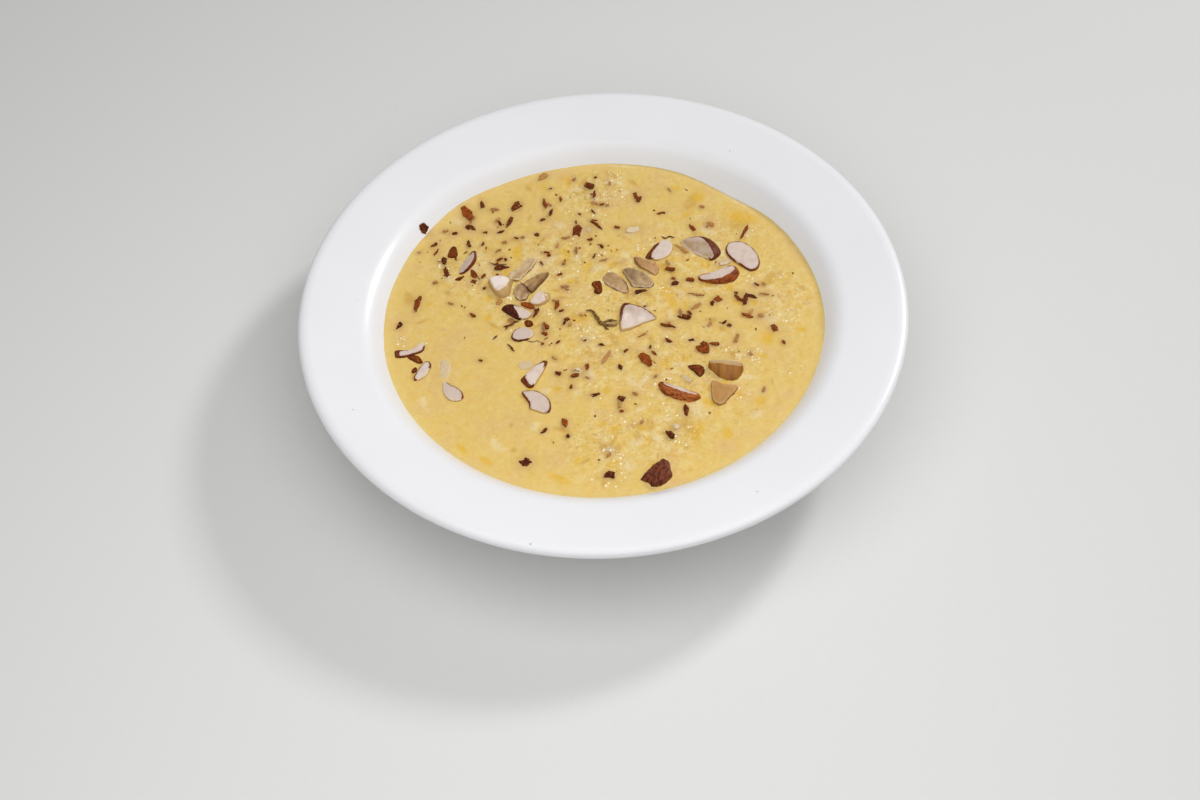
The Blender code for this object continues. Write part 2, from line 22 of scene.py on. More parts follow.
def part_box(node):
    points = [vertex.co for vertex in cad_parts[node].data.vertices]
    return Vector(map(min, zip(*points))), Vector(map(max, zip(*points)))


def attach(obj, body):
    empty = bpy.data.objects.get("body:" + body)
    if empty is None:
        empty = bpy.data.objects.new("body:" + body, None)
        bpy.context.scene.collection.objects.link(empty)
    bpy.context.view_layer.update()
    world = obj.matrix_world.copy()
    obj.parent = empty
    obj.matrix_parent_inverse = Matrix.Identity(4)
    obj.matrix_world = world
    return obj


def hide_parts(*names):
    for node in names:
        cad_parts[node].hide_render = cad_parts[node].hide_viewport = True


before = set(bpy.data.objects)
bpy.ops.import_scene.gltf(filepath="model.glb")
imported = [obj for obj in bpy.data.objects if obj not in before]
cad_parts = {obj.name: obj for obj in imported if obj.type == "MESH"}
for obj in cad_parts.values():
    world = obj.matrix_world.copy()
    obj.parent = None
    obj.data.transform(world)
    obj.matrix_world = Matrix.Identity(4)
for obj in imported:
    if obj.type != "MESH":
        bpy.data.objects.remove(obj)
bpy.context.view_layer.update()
MM = 0.001
BODY = "root"

# %% [markdown]
# Colour management
#
# The hex colours below were matched to the photograph, so the picture has to show
# a lit white as white. The Standard view does that. The default view would grey the glaze
# and pale the saffron.

# %% Show colours as they are
bpy.context.scene.view_settings.view_transform = "Standard"
print("view", bpy.context.scene.view_settings.view_transform)

# %% [markdown]
# Colours and nodes
#
# Shaders reckon in linear light and people choose colours in sRGB, so one function turns a
# hex code to linear. A second one feeds a node: an input takes a plain value or another
# node's output. A third adds a node with its settings. Every material is made with these,
# and reads its patterns from the place on the piece, so they stay put when it moves.


# %% Small helpers for materials
def linear(code):
    """Linear RGBA of an sRGB hex colour such as '#E4C276'."""
    shares = [int(code[i:i + 2], 16) / 255 for i in (1, 3, 5)]
    return (*[c / 12.92 if c <= 0.04045 else ((c + 0.055) / 1.055) ** 2.4 for c in shares], 1.0)


def feed(material, node, inputs):
    """Give a node its inputs: plain values are set, and outputs of other nodes are linked."""
    for name, value in inputs.items():
        if isinstance(value, bpy.types.NodeSocket):
            material.node_tree.links.new(value, node.inputs[name])
        else:
            node.inputs[name].default_value = value


def add_node(material, kind, inputs=None, **settings):
    """Add a node with its settings, and its inputs by socket name or number."""
    made = material.node_tree.nodes.new(kind)
    for name, value in settings.items():
        setattr(made, name, value)
    feed(material, made, inputs or {})
    return made


def add_object(name, data):
    """Put a mesh, a camera or a lamp in the scene."""
    made = bpy.data.objects.new(name, data)
    bpy.context.scene.collection.objects.link(made)
    return made


def new_material(name):
    """A material with nodes, its shader, and the place that its patterns read."""
    made = bpy.data.materials.new(name)
    made.use_nodes = True
    place = add_node(made, "ShaderNodeTexCoord").outputs["Object"]
    return made, made.node_tree.nodes["Principled BSDF"], place


print("cream in linear light", [round(c, 3) for c in linear("#E4C276")])

# %% [markdown]
# The camera
#
# The bowl's rim is a circle of known size, and in the photograph it is an ellipse. The shape
# and size of that ellipse give the camera's height over the table, its distance and its
# slight roll. The lens follows from the focal length in pixels. The same numbers turn a pixel
# back to a place, which is how the outlines of the nuts are read further down.

# %% Place the camera
PHOTO_WIDTH_PX = 1200
PHOTO_HEIGHT_PX = 800
FOCAL_PX = 2071
SENSOR = 36.0
AIM = Vector((-2.8, -46.6, 38.9))
DISTANCE = 753.0
ELEVATION = 51.55
ROLL = -3.24


def camera_stand():
    """Where the camera is, in millimetres, and how it is turned."""
    back = Vector((0.0, -cos(radians(ELEVATION)), sin(radians(ELEVATION))))
    right = Vector((1.0, 0.0, 0.0))
    up = back.cross(right)
    c, s = cos(radians(ROLL)), sin(radians(ROLL))
    turn = Matrix((c * right + s * up, c * up - s * right, back)).transposed()
    return AIM + DISTANCE * back, turn


def add_camera():
    """A camera with the photograph's angle of view, on its stand."""
    data = bpy.data.cameras.new("camera")
    data.sensor_fit = "HORIZONTAL"
    data.sensor_width = SENSOR
    data.lens = SENSOR * FOCAL_PX / PHOTO_WIDTH_PX
    made = add_object("camera", data)
    made.matrix_world = Matrix.Translation(EYE * MM) @ EYE_TURN.to_4x4()
    return made


EYE, EYE_TURN = camera_stand()
bpy.context.scene.camera = add_camera()
print("lens", round(bpy.context.scene.camera.data.lens, 1), "mm")

# %% [markdown]
# Unevenness
#
# Nothing cooked is even. A sum of a dozen plane waves with seeded random directions gives
# smooth hills and hollows at any pitch in millimetres. It works on whole arrays, so it can
# shape tens of thousands of points at once, and it comes out the same on each run.

# %% Make smooth random relief
WAVES = 12


def unevenness(places, pitch, seed):
    """Smooth relief, mostly between -1 and 1, over an array of places in millimetres."""
    draw = np.random.default_rng(seed)
    total = np.zeros(len(places))
    for _ in range(WAVES):
        way = draw.normal(size=places.shape[1])
        way *= 2 * pi / (pitch * draw.uniform(0.7, 1.5) * np.linalg.norm(way))
        total += np.sin(places @ way + draw.uniform(0.0, 2 * pi))
    return total / sqrt(WAVES)


print("relief runs from", unevenness(np.arange(300.0).reshape(-1, 3), 10.0, 1).round(2).min())

# %% [markdown]
# From arrays to pieces
#
# Most pieces are made of rings of points: the grains, the nuts, the chips and the strips. One
# function joins such rings with faces, and another closes them with a point at both ends.
# Small forms of one kind are joined to one mesh, and each piece rides on the part's body. A
# piece can also keep numbers for its points, which its material reads back as colour.


# %% Small helpers for meshes
def add_piece(name, places, faces, material, slot):
    """A smooth mesh from places in millimetres, riding on the part's only body."""
    mesh = bpy.data.meshes.new(name)
    mesh.from_pydata((np.asarray(places) * MM).tolist(), [], faces)
    mesh.shade_smooth()
    mesh.materials.append(material)
    made = add_object(name, mesh)
    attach(made, BODY)
    return made


def ring_faces(rings, around, first=0):
    """Faces that join each ring of points to the next."""
    return [(low + j, low + around + j, low + around + (j + 1) % around, low + (j + 1) % around)
            for low in range(first, first + (rings - 1) * around, around) for j in range(around)]


def capped_faces(rings, around):
    """Faces of a closed form: a first point, then rings of points, then a last point."""
    end = 1 + rings * around
    low = end - around
    caps = [(0, 1 + j, 1 + (j + 1) % around) for j in range(around)]
    caps += [(end, low + (j + 1) % around, low + j) for j in range(around)]
    return ring_faces(rings, around, 1) + caps


def joined(forms):
    """Places and faces of many small forms, as one."""
    faces, count = [], 0
    for places, pattern in forms:
        faces += [tuple(count + corner for corner in face) for face in pattern]
        count += len(places)
    return np.vstack([places for places, pattern in forms]), faces


def note(thing, name, values):
    """Store one value, or one vector, for each point of a piece, for its material to read."""
    values = np.asarray(values, dtype=np.float32)
    kind = "FLOAT" if values.ndim == 1 else "FLOAT_VECTOR"
    layer = thing.data.attributes.new(name, kind, "POINT")
    layer.data.foreach_set("value" if values.ndim == 1 else "vector", values.ravel())


def triangles(thing):
    """How many triangles a piece has."""
    return sum(len(face.vertices) - 2 for face in thing.data.polygons)


print("a closed form of 3 rings of 8 points has", len(capped_faces(3, 8)), "faces")

# %% [markdown]
# The bowl
#
# On the real thing this is one turned form: a flat well floor, a steep wall, a broad rim
# that falls a little towards the well, a rounded lip and a foot ring. One section turned
# round the axis gives all of it. The solid has 64 steps round, and here there are 256 and
# finer curves, so that the lip stays a clean line close up. Radius and height come from the
# packed bowl.

# %% Turn the bowl
bowl_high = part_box("bowl")[1]
RIM_RADIUS = bowl_high.x / MM
HEIGHT = bowl_high.z / MM
LIP_THICKNESS = 4.4
LIP_FALL = 4.6
LIP_DROP = 0.28
LIP_HANDLES = ((RIM_RADIUS - 2.4, HEIGHT + 0.05), (RIM_RADIUS, HEIGHT - 0.6))
SHOULDER_RADIUS = 93.0
RIM_DROP = 3.4
WELL_FLOOR_RADIUS = 50.0
WELL_FLOOR_HEIGHT = 8.0
WELL_HANDLES = ((75.0, 19.5), (68.0, WELL_FLOOR_HEIGHT))
SHOULDER_HANDLES = ((86.5, 33.4), (89.0, 35.9))
WALL_THICKNESS = 4.6
UNDERSIDE_HANDLES = ((84.0, 29.0), (78.0, 6.5))
FOOT_RADIUS = 57.0
FOOT_WIDTH = 5.0
FOOT_HEIGHT = 3.2
FOOT_ROUNDING = 0.6
FOOT_FILLET = 3.0
TURN_STEPS = 256
PUDDING_RADIUS = 83.0
PUDDING_LEVEL = 29.4
GAP = 0.3


def bezier(start, start_handle, end_handle, end, steps):
    """Points (r, z) along a Bezier curve, both ends included."""
    knots = [Vector((r, z, 0.0)) for r, z in (start, start_handle, end_handle, end)]
    return [(point.x, point.y) for point in interpolate_bezier(*knots, steps)]


def arc(middle, radius, first, last, steps):
    """Points (r, z) along an arc, angles in degrees, both ends included."""
    turns = [radians(first + (last - first) * i / (steps - 1)) for i in range(steps)]
    return [(middle[0] + radius * cos(t), middle[1] + radius * sin(t)) for t in turns]


def well_curve(steps):
    """The inside wall of the well, from the pudding's edge down to the flat floor."""
    edge = (PUDDING_RADIUS + GAP, PUDDING_LEVEL - GAP)
    return bezier(edge, *WELL_HANDLES, (WELL_FLOOR_RADIUS, WELL_FLOOR_HEIGHT), steps)


def shoulder_curve(steps):
    """The wall from the pudding's edge up to the start of the broad rim."""
    edge = (PUDDING_RADIUS + GAP, PUDDING_LEVEL - GAP)
    return bezier(edge, *SHOULDER_HANDLES, (SHOULDER_RADIUS, HEIGHT - RIM_DROP), steps)


def inside_wall():
    """The inside of the bowl, from the well's flat floor up to the broad rim."""
    return well_curve(20)[::-1] + shoulder_curve(14)[1:]


def foot_curve():
    """The foot ring's section, from the underside over the ring to the base within it."""
    inner = FOOT_RADIUS - FOOT_WIDTH
    outer_fillet = bezier((FOOT_RADIUS + FOOT_FILLET, FOOT_HEIGHT), (FOOT_RADIUS + 1.2, FOOT_HEIGHT - 0.2),
                          (FOOT_RADIUS, 2.0), (FOOT_RADIUS, FOOT_ROUNDING), 7)
    outer_edge = arc((FOOT_RADIUS - FOOT_ROUNDING, FOOT_ROUNDING), FOOT_ROUNDING, 0, -90, 5)
    inner_edge = arc((inner + FOOT_ROUNDING, FOOT_ROUNDING), FOOT_ROUNDING, -90, -180, 5)
    inner_fillet = bezier((inner, FOOT_ROUNDING), (inner, 2.0), (inner - 1.0, FOOT_HEIGHT),
                          (inner - FOOT_FILLET, FOOT_HEIGHT), 7)
    return outer_fillet[1:] + outer_edge[1:] + inner_edge + inner_fillet[1:] + [(0.0, FOOT_HEIGHT)]


def bowl_profile():
    """The bowl's section, from the middle of the well out over the lip and under."""
    lip_radius = LIP_THICKNESS / 2
    lip = bezier((RIM_RADIUS - LIP_FALL, HEIGHT - LIP_DROP), *LIP_HANDLES,
                 (RIM_RADIUS, HEIGHT - lip_radius), 14)
    lip += arc((RIM_RADIUS - lip_radius, HEIGHT - lip_radius), lip_radius, 0, -80, 9)[1:]
    under_shoulder = (SHOULDER_RADIUS, HEIGHT - RIM_DROP - WALL_THICKNESS)
    foot_top = (FOOT_RADIUS + FOOT_FILLET, FOOT_HEIGHT)
    underside = bezier(under_shoulder, *UNDERSIDE_HANDLES, foot_top, 22)
    return [(0.0, WELL_FLOOR_HEIGHT)] + inside_wall() + lip + underside + foot_curve()


def turn_bowl(material):
    """Turn the section round the axis."""
    shape = bmesh.new()
    corners = [shape.verts.new((r, 0.0, z)) for r, z in bowl_profile()]
    edges = [shape.edges.new(pair) for pair in zip(corners, corners[1:])]
    bmesh.ops.spin(shape, geom=corners + edges, cent=(0, 0, 0), axis=(0, 0, 1), angle=2 * pi,
                   steps=TURN_STEPS, use_merge=True)
    bmesh.ops.remove_doubles(shape, verts=shape.verts, dist=1e-3)
    bmesh.ops.recalc_face_normals(shape, faces=shape.faces)
    places = [tuple(corner.co) for corner in shape.verts]
    faces = [[corner.index for corner in face.verts] for face in shape.faces]
    shape.free()
    return add_piece("porcelain_bowl", places, faces, material, "white_porcelain")


print("the bowl's section has", len(bowl_profile()), "points and", TURN_STEPS, "steps round")

# %% [markdown]
# Patterns
#
# A surface is built up from a few steps, over and over: soft noise of a known size, round
# dots, a value stretched to a new range, colours laid one over another, a sum, and relief.
# Each step is a short function, and sizes go in as millimetres of the real thing.


# %% Small helpers for patterns
def between(material, value, low, high, to_low=0.0, to_high=1.0, smooth=True):
    """A value stretched so that low..high becomes to_low..to_high."""
    kind = "SMOOTHSTEP" if smooth else "LINEAR"
    made = add_node(material, "ShaderNodeMapRange", {
        "Value": value, "From Min": low, "From Max": high, "To Min": to_low, "To Max": to_high},
        interpolation_type=kind)
    return made.outputs["Result"]


def noise(material, place, size, detail=2.0, distortion=0.0):
    """Soft noise whose hills are about one size apart."""
    made = add_node(material, "ShaderNodeTexNoise", {
        "Vector": place, "Scale": 1 / (size * MM), "Detail": detail, "Distortion": distortion})
    return made.outputs["Fac"]


def blend(material, share, first, second):
    """The second colour over the first. Each is a hex code or an output."""
    colours = [linear(c) if isinstance(c, str) else c for c in (first, second)]
    made = add_node(material, "ShaderNodeMix", {0: share, 6: colours[0], 7: colours[1]}, data_type="RGBA")
    return made.outputs[2]


def layered(material, ground, *layers):
    """Colours laid one over another, each given as its share and its colour."""
    for share, colour in layers:
        ground = blend(material, share, ground, colour)
    return ground


def sums(material, sort, *values):
    """One arithmetic step on values or outputs."""
    return add_node(material, "ShaderNodeMath", dict(enumerate(values)), operation=sort).outputs[0]


def times(material, first, second):
    """The product of two values or outputs."""
    return sums(material, "MULTIPLY", first, second)


def dots(material, place, spacing, largest, fewest):
    """Scattered round dots of all sizes, one to a cell, from 0 to 1."""
    cells = add_node(material, "ShaderNodeTexVoronoi", {"Vector": place, "Scale": 1 / (spacing * MM)})
    chance = add_node(material, "ShaderNodeSeparateColor", {"Color": cells.outputs["Color"]}).outputs[0]
    size = between(material, chance, fewest, 1.0, 0.0, largest, smooth=False)
    return between(material, sums(material, "SUBTRACT", size, cells.outputs["Distance"]), 0.0, 0.09)


def relief(material, height, strength, depth, over=None):
    """Fine relief from a height, some millimetres deep, over other relief or none."""
    inputs = {"Height": height, "Strength": strength, "Distance": depth * MM}
    if over is not None:
        inputs["Normal"] = over
    return add_node(material, "ShaderNodeBump", inputs).outputs["Normal"]


def noted(material, *names):
    """Outputs of the numbers that a piece keeps for each of its points."""
    return [add_node(material, "ShaderNodeAttribute", attribute_name=name).outputs["Fac"] for name in names]


print("patterns are read in units of", MM, "m")

# %% [markdown]
# Glazed porcelain
#
# Porcelain is a white clay fired under a clear glass glaze. Light passes a little way in and
# comes back white with a trace of blue, and the glaze adds sharp reflections. It is never
# perfect: the glaze lies in long soft ripples, and a few pinholes show as grey dots. The foot
# ring is wiped bare before firing, so it is matt. A dielectric of index 1.5 with a low
# roughness is all that this needs, with the ripples and pinholes in the relief.

# %% Make the porcelain
PORCELAIN = "#F3F3F5"
PORCELAIN_SHADE = "#EDEDF0"
BARE_CLAY = "#E4E0D8"
PINHOLE_GREY = "#B9B8B8"
CLAY_CLOUD = 30.0
GLAZE_RIPPLE = 14.0
GLAZE_PEEL = 2.2
PINHOLE_SPACING = 17.0
PINHOLE_SIZE = 0.55
BARE_BELOW = 0.45


def glazed_porcelain():
    """White porcelain under a clear glaze, bare on the foot ring."""
    made, shader, place = new_material("glazed_porcelain")
    body = blend(made, noise(made, place, CLAY_CLOUD, 3.0), PORCELAIN, PORCELAIN_SHADE)
    cells = add_node(made, "ShaderNodeTexVoronoi", {"Vector": place, "Scale": 1 / (PINHOLE_SPACING * MM)})
    size = PINHOLE_SIZE / PINHOLE_SPACING
    pinholes = between(made, cells.outputs["Distance"], size, 0.4 * size, smooth=False)
    high = add_node(made, "ShaderNodeSeparateXYZ", {"Vector": place}).outputs["Z"]
    bare = between(made, high, (BARE_BELOW + 0.2) * MM, BARE_BELOW * MM, smooth=False)
    ripples = relief(made, noise(made, place, GLAZE_RIPPLE, 1.0), 0.25, 0.35)
    peel = relief(made, noise(made, place, GLAZE_PEEL), 0.2, 0.03, ripples)
    feed(made, shader, {
        "Base Color": layered(made, body, (pinholes, PINHOLE_GREY), (bare, BARE_CLAY)),
        "Roughness": between(made, bare, 0.0, 1.0, 0.28, 0.75, smooth=False),
        "Normal": relief(made, sums(made, "SUBTRACT", 1.0, pinholes), 0.5, 0.1, peel),
        "IOR": 1.5})
    return made


bowl = turn_bowl(glazed_porcelain())
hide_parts("bowl")
print("bowl", triangles(bowl), "triangles")

# %% [markdown]
# The level of the cream
#
# The cream sets nearly flat, a little higher in the middle, with one low lump of rice behind
# the middle. These are the same numbers as in the solids, so everything that lies on the
# cream stays where its solid is. One chip fell on the wall beside the cream, so a second
# function gives the height of whichever carries a piece. A third follows the ray of a pixel
# of the photograph from the camera to the cream, in a few steps because the cream is domed.

# %% Know how high the cream is at any place
PUDDING_DOME = 0.7
LUMP_PLACE = (-6.0, 34.0)
LUMP_RISE = 0.8
LUMP_SPREAD = 8.0
RAY_STEPS = 4


def level(x, y):
    """Height of the calm cream over a place, or over arrays of places."""
    dome = PUDDING_DOME * (1 - (x * x + y * y) / PUDDING_RADIUS ** 2)
    lump_x, lump_y = LUMP_PLACE
    from_lump = ((x - lump_x) ** 2 + (y - lump_y) ** 2) / LUMP_SPREAD ** 2
    return PUDDING_LEVEL + dome + LUMP_RISE * np.exp(-from_lump / 2)


def carried(x, y):
    """Height of what carries a piece: the calm cream, or the wall of the well round it."""
    radii, heights = zip(*inside_wall())
    return np.maximum(level(x, y), np.interp(np.hypot(x, y), radii, heights))


def on_cream(px, py, rise):
    """Across and away, in millimetres, of a pixel that shows a spot some rise over the cream."""
    ray = EYE_TURN @ Vector((px - PHOTO_WIDTH_PX / 2, PHOTO_HEIGHT_PX / 2 - py, -FOCAL_PX))
    height = PUDDING_LEVEL
    for _ in range(RAY_STEPS):
        spot = EYE + ray * float((height - EYE.z) / ray.z)
        height = level(spot.x, spot.y) + rise
    return spot.x, spot.y


print("the cream is", round(float(level(0.0, 0.0)), 2), "mm high in the middle")

# %% [markdown]
# The nut pieces, as rows
#
# A chopped almond shows a flat face with a thin dark rim of skin, and under the face its side
# bulges down to the cream. The corners of each face were read off the photograph. A
# corner holds its pixel, its height over the calm cream in millimetres, and how much skin the
# side has there, from 0 to 1. Where the side bulges, the pixel of its foot follows. They run
# round the piece against the clock. The chunks are chips, read in the same way: brown ones,
# all skin, and two pale ones sunk in the cream.

# %% List the nut pieces
# In two pieces below, skin on an edge stands for a dark line of painted shade, as noted there.
Corner = namedtuple("Corner", "px py high skin foot_px foot_py", defaults=(1, None, None))
Piece = namedtuple("Piece", "name look corners")
PIECES = [Piece(*row) for row in (
    ("almond_oval_right", "kernel", (
        (727, 252, 0.7, 0.9), (730.5, 256.5, 0.7, 0.8), (735.5, 260.8, 0.6, 0.5), (741, 264, 0.6, 0.5),
        (746.5, 267.8, 0.6, 0.7), (751, 269.3, 0.6, 0.9), (756, 268.2, 0.7, 1), (758.8, 264.5, 0.8, 1),
        (759, 259, 0.9, 1), (756.5, 253, 1, 1), (752.5, 248, 1, 1), (747, 243.8, 1, 1),
        (741, 241.5, 1, 1), (735, 241.2, 0.9, 1), (729, 242.8, 0.9, 1), (726.3, 247, 0.8, 1))),
    ("almond_thick_back", "kernel", (
        (683.5, 245, 0.3, 0), (689, 249.3, 0.3, 0), (696, 253.4, 0.3, 0), (702, 256, 0.4, 0),
        (707.5, 257.8, 0.5, 0.1), (711.8, 259, 0.8, 1), (714.3, 256, 1.3, 1, 717.5, 257),
        (714, 253, 1.9, 1, 721, 252.5), (711.5, 248, 2.4, 1, 719.5, 246.5),
        (708.5, 243, 2.5, 1, 714, 239.8), (703, 237.5, 2.2, 1, 705.5, 236), (697.5, 236, 1.8, 0.9),
        (692, 236.8, 1.4, 0.6), (686, 238.2, 0.9, 0.2), (681, 241, 0.5, 0.1))),
    ("almond_crescent", "skin", (
        (700.5, 279, 0.9, 1, 699, 280), (705, 280.2, 1.3, 1, 703.5, 282.3),
        (712, 279.9, 1.9, 1, 710.5, 284), (720, 278.5, 2.4, 1, 719, 285),
        (726.3, 276, 2.7, 1, 728, 283.8), (731, 272.8, 2.8, 1, 735.5, 280.8),
        (735, 269.3, 2.7, 1, 739.3, 274), (734.6, 266.3, 2.7, 1, 736.6, 267.8), (731, 265.2, 2.9, 0.6),
        (726, 266.7, 2.9, 0.2), (720, 269.2, 2.7, 0.1), (714, 271.2, 2.3, 0.1), (708, 273, 1.8, 0.3),
        (702, 274.3, 1.2, 0.7), (698.7, 276, 0.8, 0.9))),
    ("almond_end_back", "kernel", (
        (656, 259, 0.5, 0), (661.5, 258, 0.4, 0), (667, 255.5, 0.3, 0), (670.5, 251.5, 0.3, 0),
        (672, 246, 0.3, 0), (670, 241, 0.4, 0), (665, 239.3, 0.6, 0), (660.5, 241.3, 0.8, 0.2),
        (656.7, 245.7, 1, 1, 655, 243.8), (653, 250, 1, 1, 650, 249.3), (651, 254, 0.9, 1, 645.5, 256),
        (651.2, 257.8, 0.7, 1, 646, 258))),
    ("soaked_flake_tan", "soaked", (
        (636, 262, 0.9, 0.6), (640, 265.7, 1, 0.5), (645, 268, 1, 0.3), (650, 270.5, 0.8, 0.2),
        (655, 274, 0.5, 0), (657.5, 270.5, 0.7, 0), (658, 266, 0.9, 0), (655.5, 262, 1, 0),
        (650, 261, 1.1, 0), (645, 259, 1.1, 0), (640, 256.8, 0.9, 0), (634.5, 257, 0.8, 0.6))),
    ("soaked_flake_wide", "soaked", (
        (626, 275, 0.7, 0), (629.5, 280, 0.6, 0), (632, 284.5, 0.5, 0), (637, 286.3, 0.4, 0),
        (643.5, 286.8, 0.4, 0), (650, 286.5, 0.5, 0), (653.5, 283.3, 0.8, 0), (651, 278.5, 1.2, 0),
        (646, 273.8, 1.4, 0), (640, 270.5, 1.4, 0.1), (634, 268.2, 1.3, 0.2), (628, 267.8, 1.1, 0.2),
        (623, 269.5, 0.8, 0.2))),
    ("soaked_flake_small", "soaked", (
        (603.8, 280, 0.5, 0), (607, 283.5, 0.5, 0), (613, 287, 0.5, 0), (619.5, 290, 0.5, 0),
        (624.5, 291.5, 0.5, 0), (627.5, 291, 0.7, 0.3), (627.8, 286.5, 1, 0.8), (625.8, 282, 1.1, 0.6),
        (622, 277.8, 1.1, 0.4), (617.5, 274.2, 1, 0.2), (612, 271.8, 0.9, 0), (607, 272.8, 0.8, 0.2),
        (603.5, 276, 0.6, 0.2))),
    ("almond_wedge", "kernel", (
        (621.8, 314.5, 1.9, 0.5, 619.2, 317.5), (621.2, 322, 1.3, 0.3, 618.8, 325),
        (622.3, 328, 0.9, 0, 620.5, 331.8), (627.5, 327.5, 0.9, 0, 626.5, 331.3),
        (634, 325.5, 0.8, 0, 634, 328.5), (642, 322.5, 0.7, 0), (650, 319.8, 0.7, 0),
        (655.8, 317.5, 0.8, 0.4), (653, 314, 1.6, 1), (648, 310.5, 2.3, 1), (642, 307, 2.7, 1),
        (635.5, 304.8, 2.9, 1), (628.5, 304, 2.7, 1, 626.5, 301.2), (623.8, 306, 2.3, 1, 621, 304.8))),
    ("golden_nut_ribbed", "golden", (
        (709.5, 362.7, 2.5, 1, 708.6, 368.5), (712.5, 363.2, 2.9, 1, 713, 372.5),
        (720, 363.8, 3.2, 1, 719.5, 378), (728, 365, 3.2, 1, 728, 381), (736, 366, 3.1, 1, 737.5, 380),
        (742, 366.3, 2.6, 1, 742.3, 373.5), (742, 364, 2.6, 0.6, 743.3, 366.5), (738, 361.5, 2.9, 0),
        (730, 360.5, 3.1, 0), (721, 359.8, 3.1, 0), (713.5, 359.7, 2.9, 0), (709.5, 361, 2.5, 0.5))),
    ("golden_nut_flat", "golden", (
        (711.9, 388, 1.1, 0), (712.6, 396, 0.9, 0), (715, 400.7, 0.8, 0), (719.5, 403.3, 0.8, 0),
        (724, 402, 0.9, 0), (727.5, 397.5, 1.1, 0), (731.5, 393.7, 1.3, 0), (735.5, 389.5, 1.4, 0),
        (737, 385.5, 1.5, 0), (732, 384.5, 1.6, 0), (725, 384, 1.6, 0), (718, 381.5, 1.5, 0),
        (712.5, 380.3, 1.2, 0))),
    ("almond_sliver", "skin", (
        (662, 383.2, 1.9, 1, 657.6, 384.5), (668, 386.3, 2.4, 1, 662, 393.2),
        (675, 389.2, 2.6, 1, 671.5, 398.5), (683, 392, 2.6, 1, 682, 401.5),
        (690, 393.9, 2.5, 1, 691.5, 402.5), (697, 394.8, 2.2, 1, 700.6, 399),
        (697.3, 393, 2.2, 0.8, 699.2, 394.3), (693, 391.3, 2.5, 0), (687, 389.2, 2.6, 0),
        (680, 386.9, 2.6, 0), (673, 384.7, 2.4, 0), (666, 382.8, 2.1, 0.1), (660.5, 381.3, 1.7, 0.8))),
    ("almond_skin_up", "domed", (
        (649.3, 478.7, 1.8, 1, 643.8, 481.8), (650.5, 480.2, 1.9, 1, 648.7, 483.5),
        (654, 481.5, 2.1, 1, 653, 487), (660, 481, 2.5, 1, 661, 486), (665, 478, 2.8, 1, 668, 481),
        (668.3, 474, 2.8, 1, 672.3, 475), (668, 469, 3, 1, 670.8, 468.5),
        (667, 463.5, 3, 1, 669.3, 460.5), (664, 461.5, 3.2, 1, 662.5, 456.8),
        (660, 463, 3.2, 1, 658, 459.8), (655, 467, 3, 1, 651, 465), (650.5, 471.5, 2.6, 1, 645, 472.5),
        (649, 477, 1.8, 1, 640, 479))),
    ("almond_teardrop", "kernel", (
        (524.2, 395.3, 0.9, 1), (527.7, 399.5, 0.8, 1), (529.5, 403.5, 0.7, 1), (530.5, 407.5, 0.6, 0.4),
        (536, 409.6, 0.6, 0.2), (542.5, 411.6, 0.6, 0.2), (547.8, 411.7, 0.7, 0.6), (550, 408.3, 0.8, 1),
        (550.2, 403, 0.9, 1), (548.5, 398.8, 1, 1), (544.5, 395, 1, 1), (540, 392.2, 1, 1),
        (535.5, 390.6, 1, 1), (531, 390.3, 1, 1), (526.5, 390.6, 1, 1), (522.3, 391.3, 1, 1))),
    # Its skin of 0.3 to 0.5 along the top edge is a faint dark line of painted shade.
    ("almond_pointed", "kernel", (
        (526.4, 380.8, 1.2, 1, 521.8, 382.8), (529, 384.2, 1, 1, 526, 386.3),
        (532, 385.8, 0.8, 1, 531.2, 388), (535, 383, 0.7, 0), (537.5, 378.5, 0.8, 0),
        (541, 373.5, 0.9, 0.1), (543.8, 368, 1.1, 0.3), (544.9, 363, 1.4, 1, 547.7, 360.7),
        (542.8, 361.9, 1.4, 1, 543, 359.7), (538.5, 363.5, 1.3, 0.5), (534, 366, 1.2, 0.4),
        (530.5, 370, 1.1, 0.3), (526.5, 373.5, 1.1, 0.1), (524.5, 377.5, 1.2, 1, 520.6, 378.8))),
    ("almond_left", "kernel", (
        (443, 386.5, 0.5, 0.1), (443.7, 391.5, 0.5, 0.1), (446.5, 396.3, 0.5, 0.2),
        (450.5, 399.4, 0.4, 0.1), (455.5, 400.2, 0.4, 0), (460, 399.3, 0.5, 0.1), (462.5, 397, 0.6, 0.8),
        (462.2, 393.5, 0.8, 1), (460.3, 390.2, 0.9, 1), (455.5, 387, 0.9, 1), (450.5, 384.9, 0.8, 1),
        (447, 382.3, 0.7, 0.6), (443.7, 382.5, 0.5, 0.1))),
    ("almond_narrow_left", "kernel", (
        (418, 379.3, 0.4, 0.1), (422.5, 377, 0.4, 0), (426.3, 374, 0.4, 0), (428.6, 370, 0.5, 0.1),
        (430.2, 365.5, 0.8, 0.9), (429.6, 361.9, 0.9, 1), (426, 361.4, 0.9, 1), (422.5, 363.7, 0.9, 1),
        (420, 367.3, 0.9, 1), (417.5, 370.8, 0.9, 1), (415, 375, 0.8, 1), (414.5, 379, 0.6, 1))),
    ("almond_sliver_left", "kernel", (
        (398.8, 353.5, 0.9, 1, 394.2, 354), (399.5, 355.8, 0.8, 1, 395.6, 357.6), (402.5, 356.4, 0.7, 1),
        (409, 355, 0.6, 0.8), (416, 353, 0.6, 0.6), (421.8, 350.6, 0.6, 1), (424, 346.5, 0.6, 0.5),
        (423.3, 343.3, 0.6, 0.2), (419.5, 343.5, 0.7, 0), (416.5, 346.8, 0.8, 0), (412, 349.5, 0.9, 0.1),
        (406, 350, 0.9, 0.1), (399.5, 351, 0.9, 1, 395.5, 350))),
    ("almond_slanted_back", "kernel", (
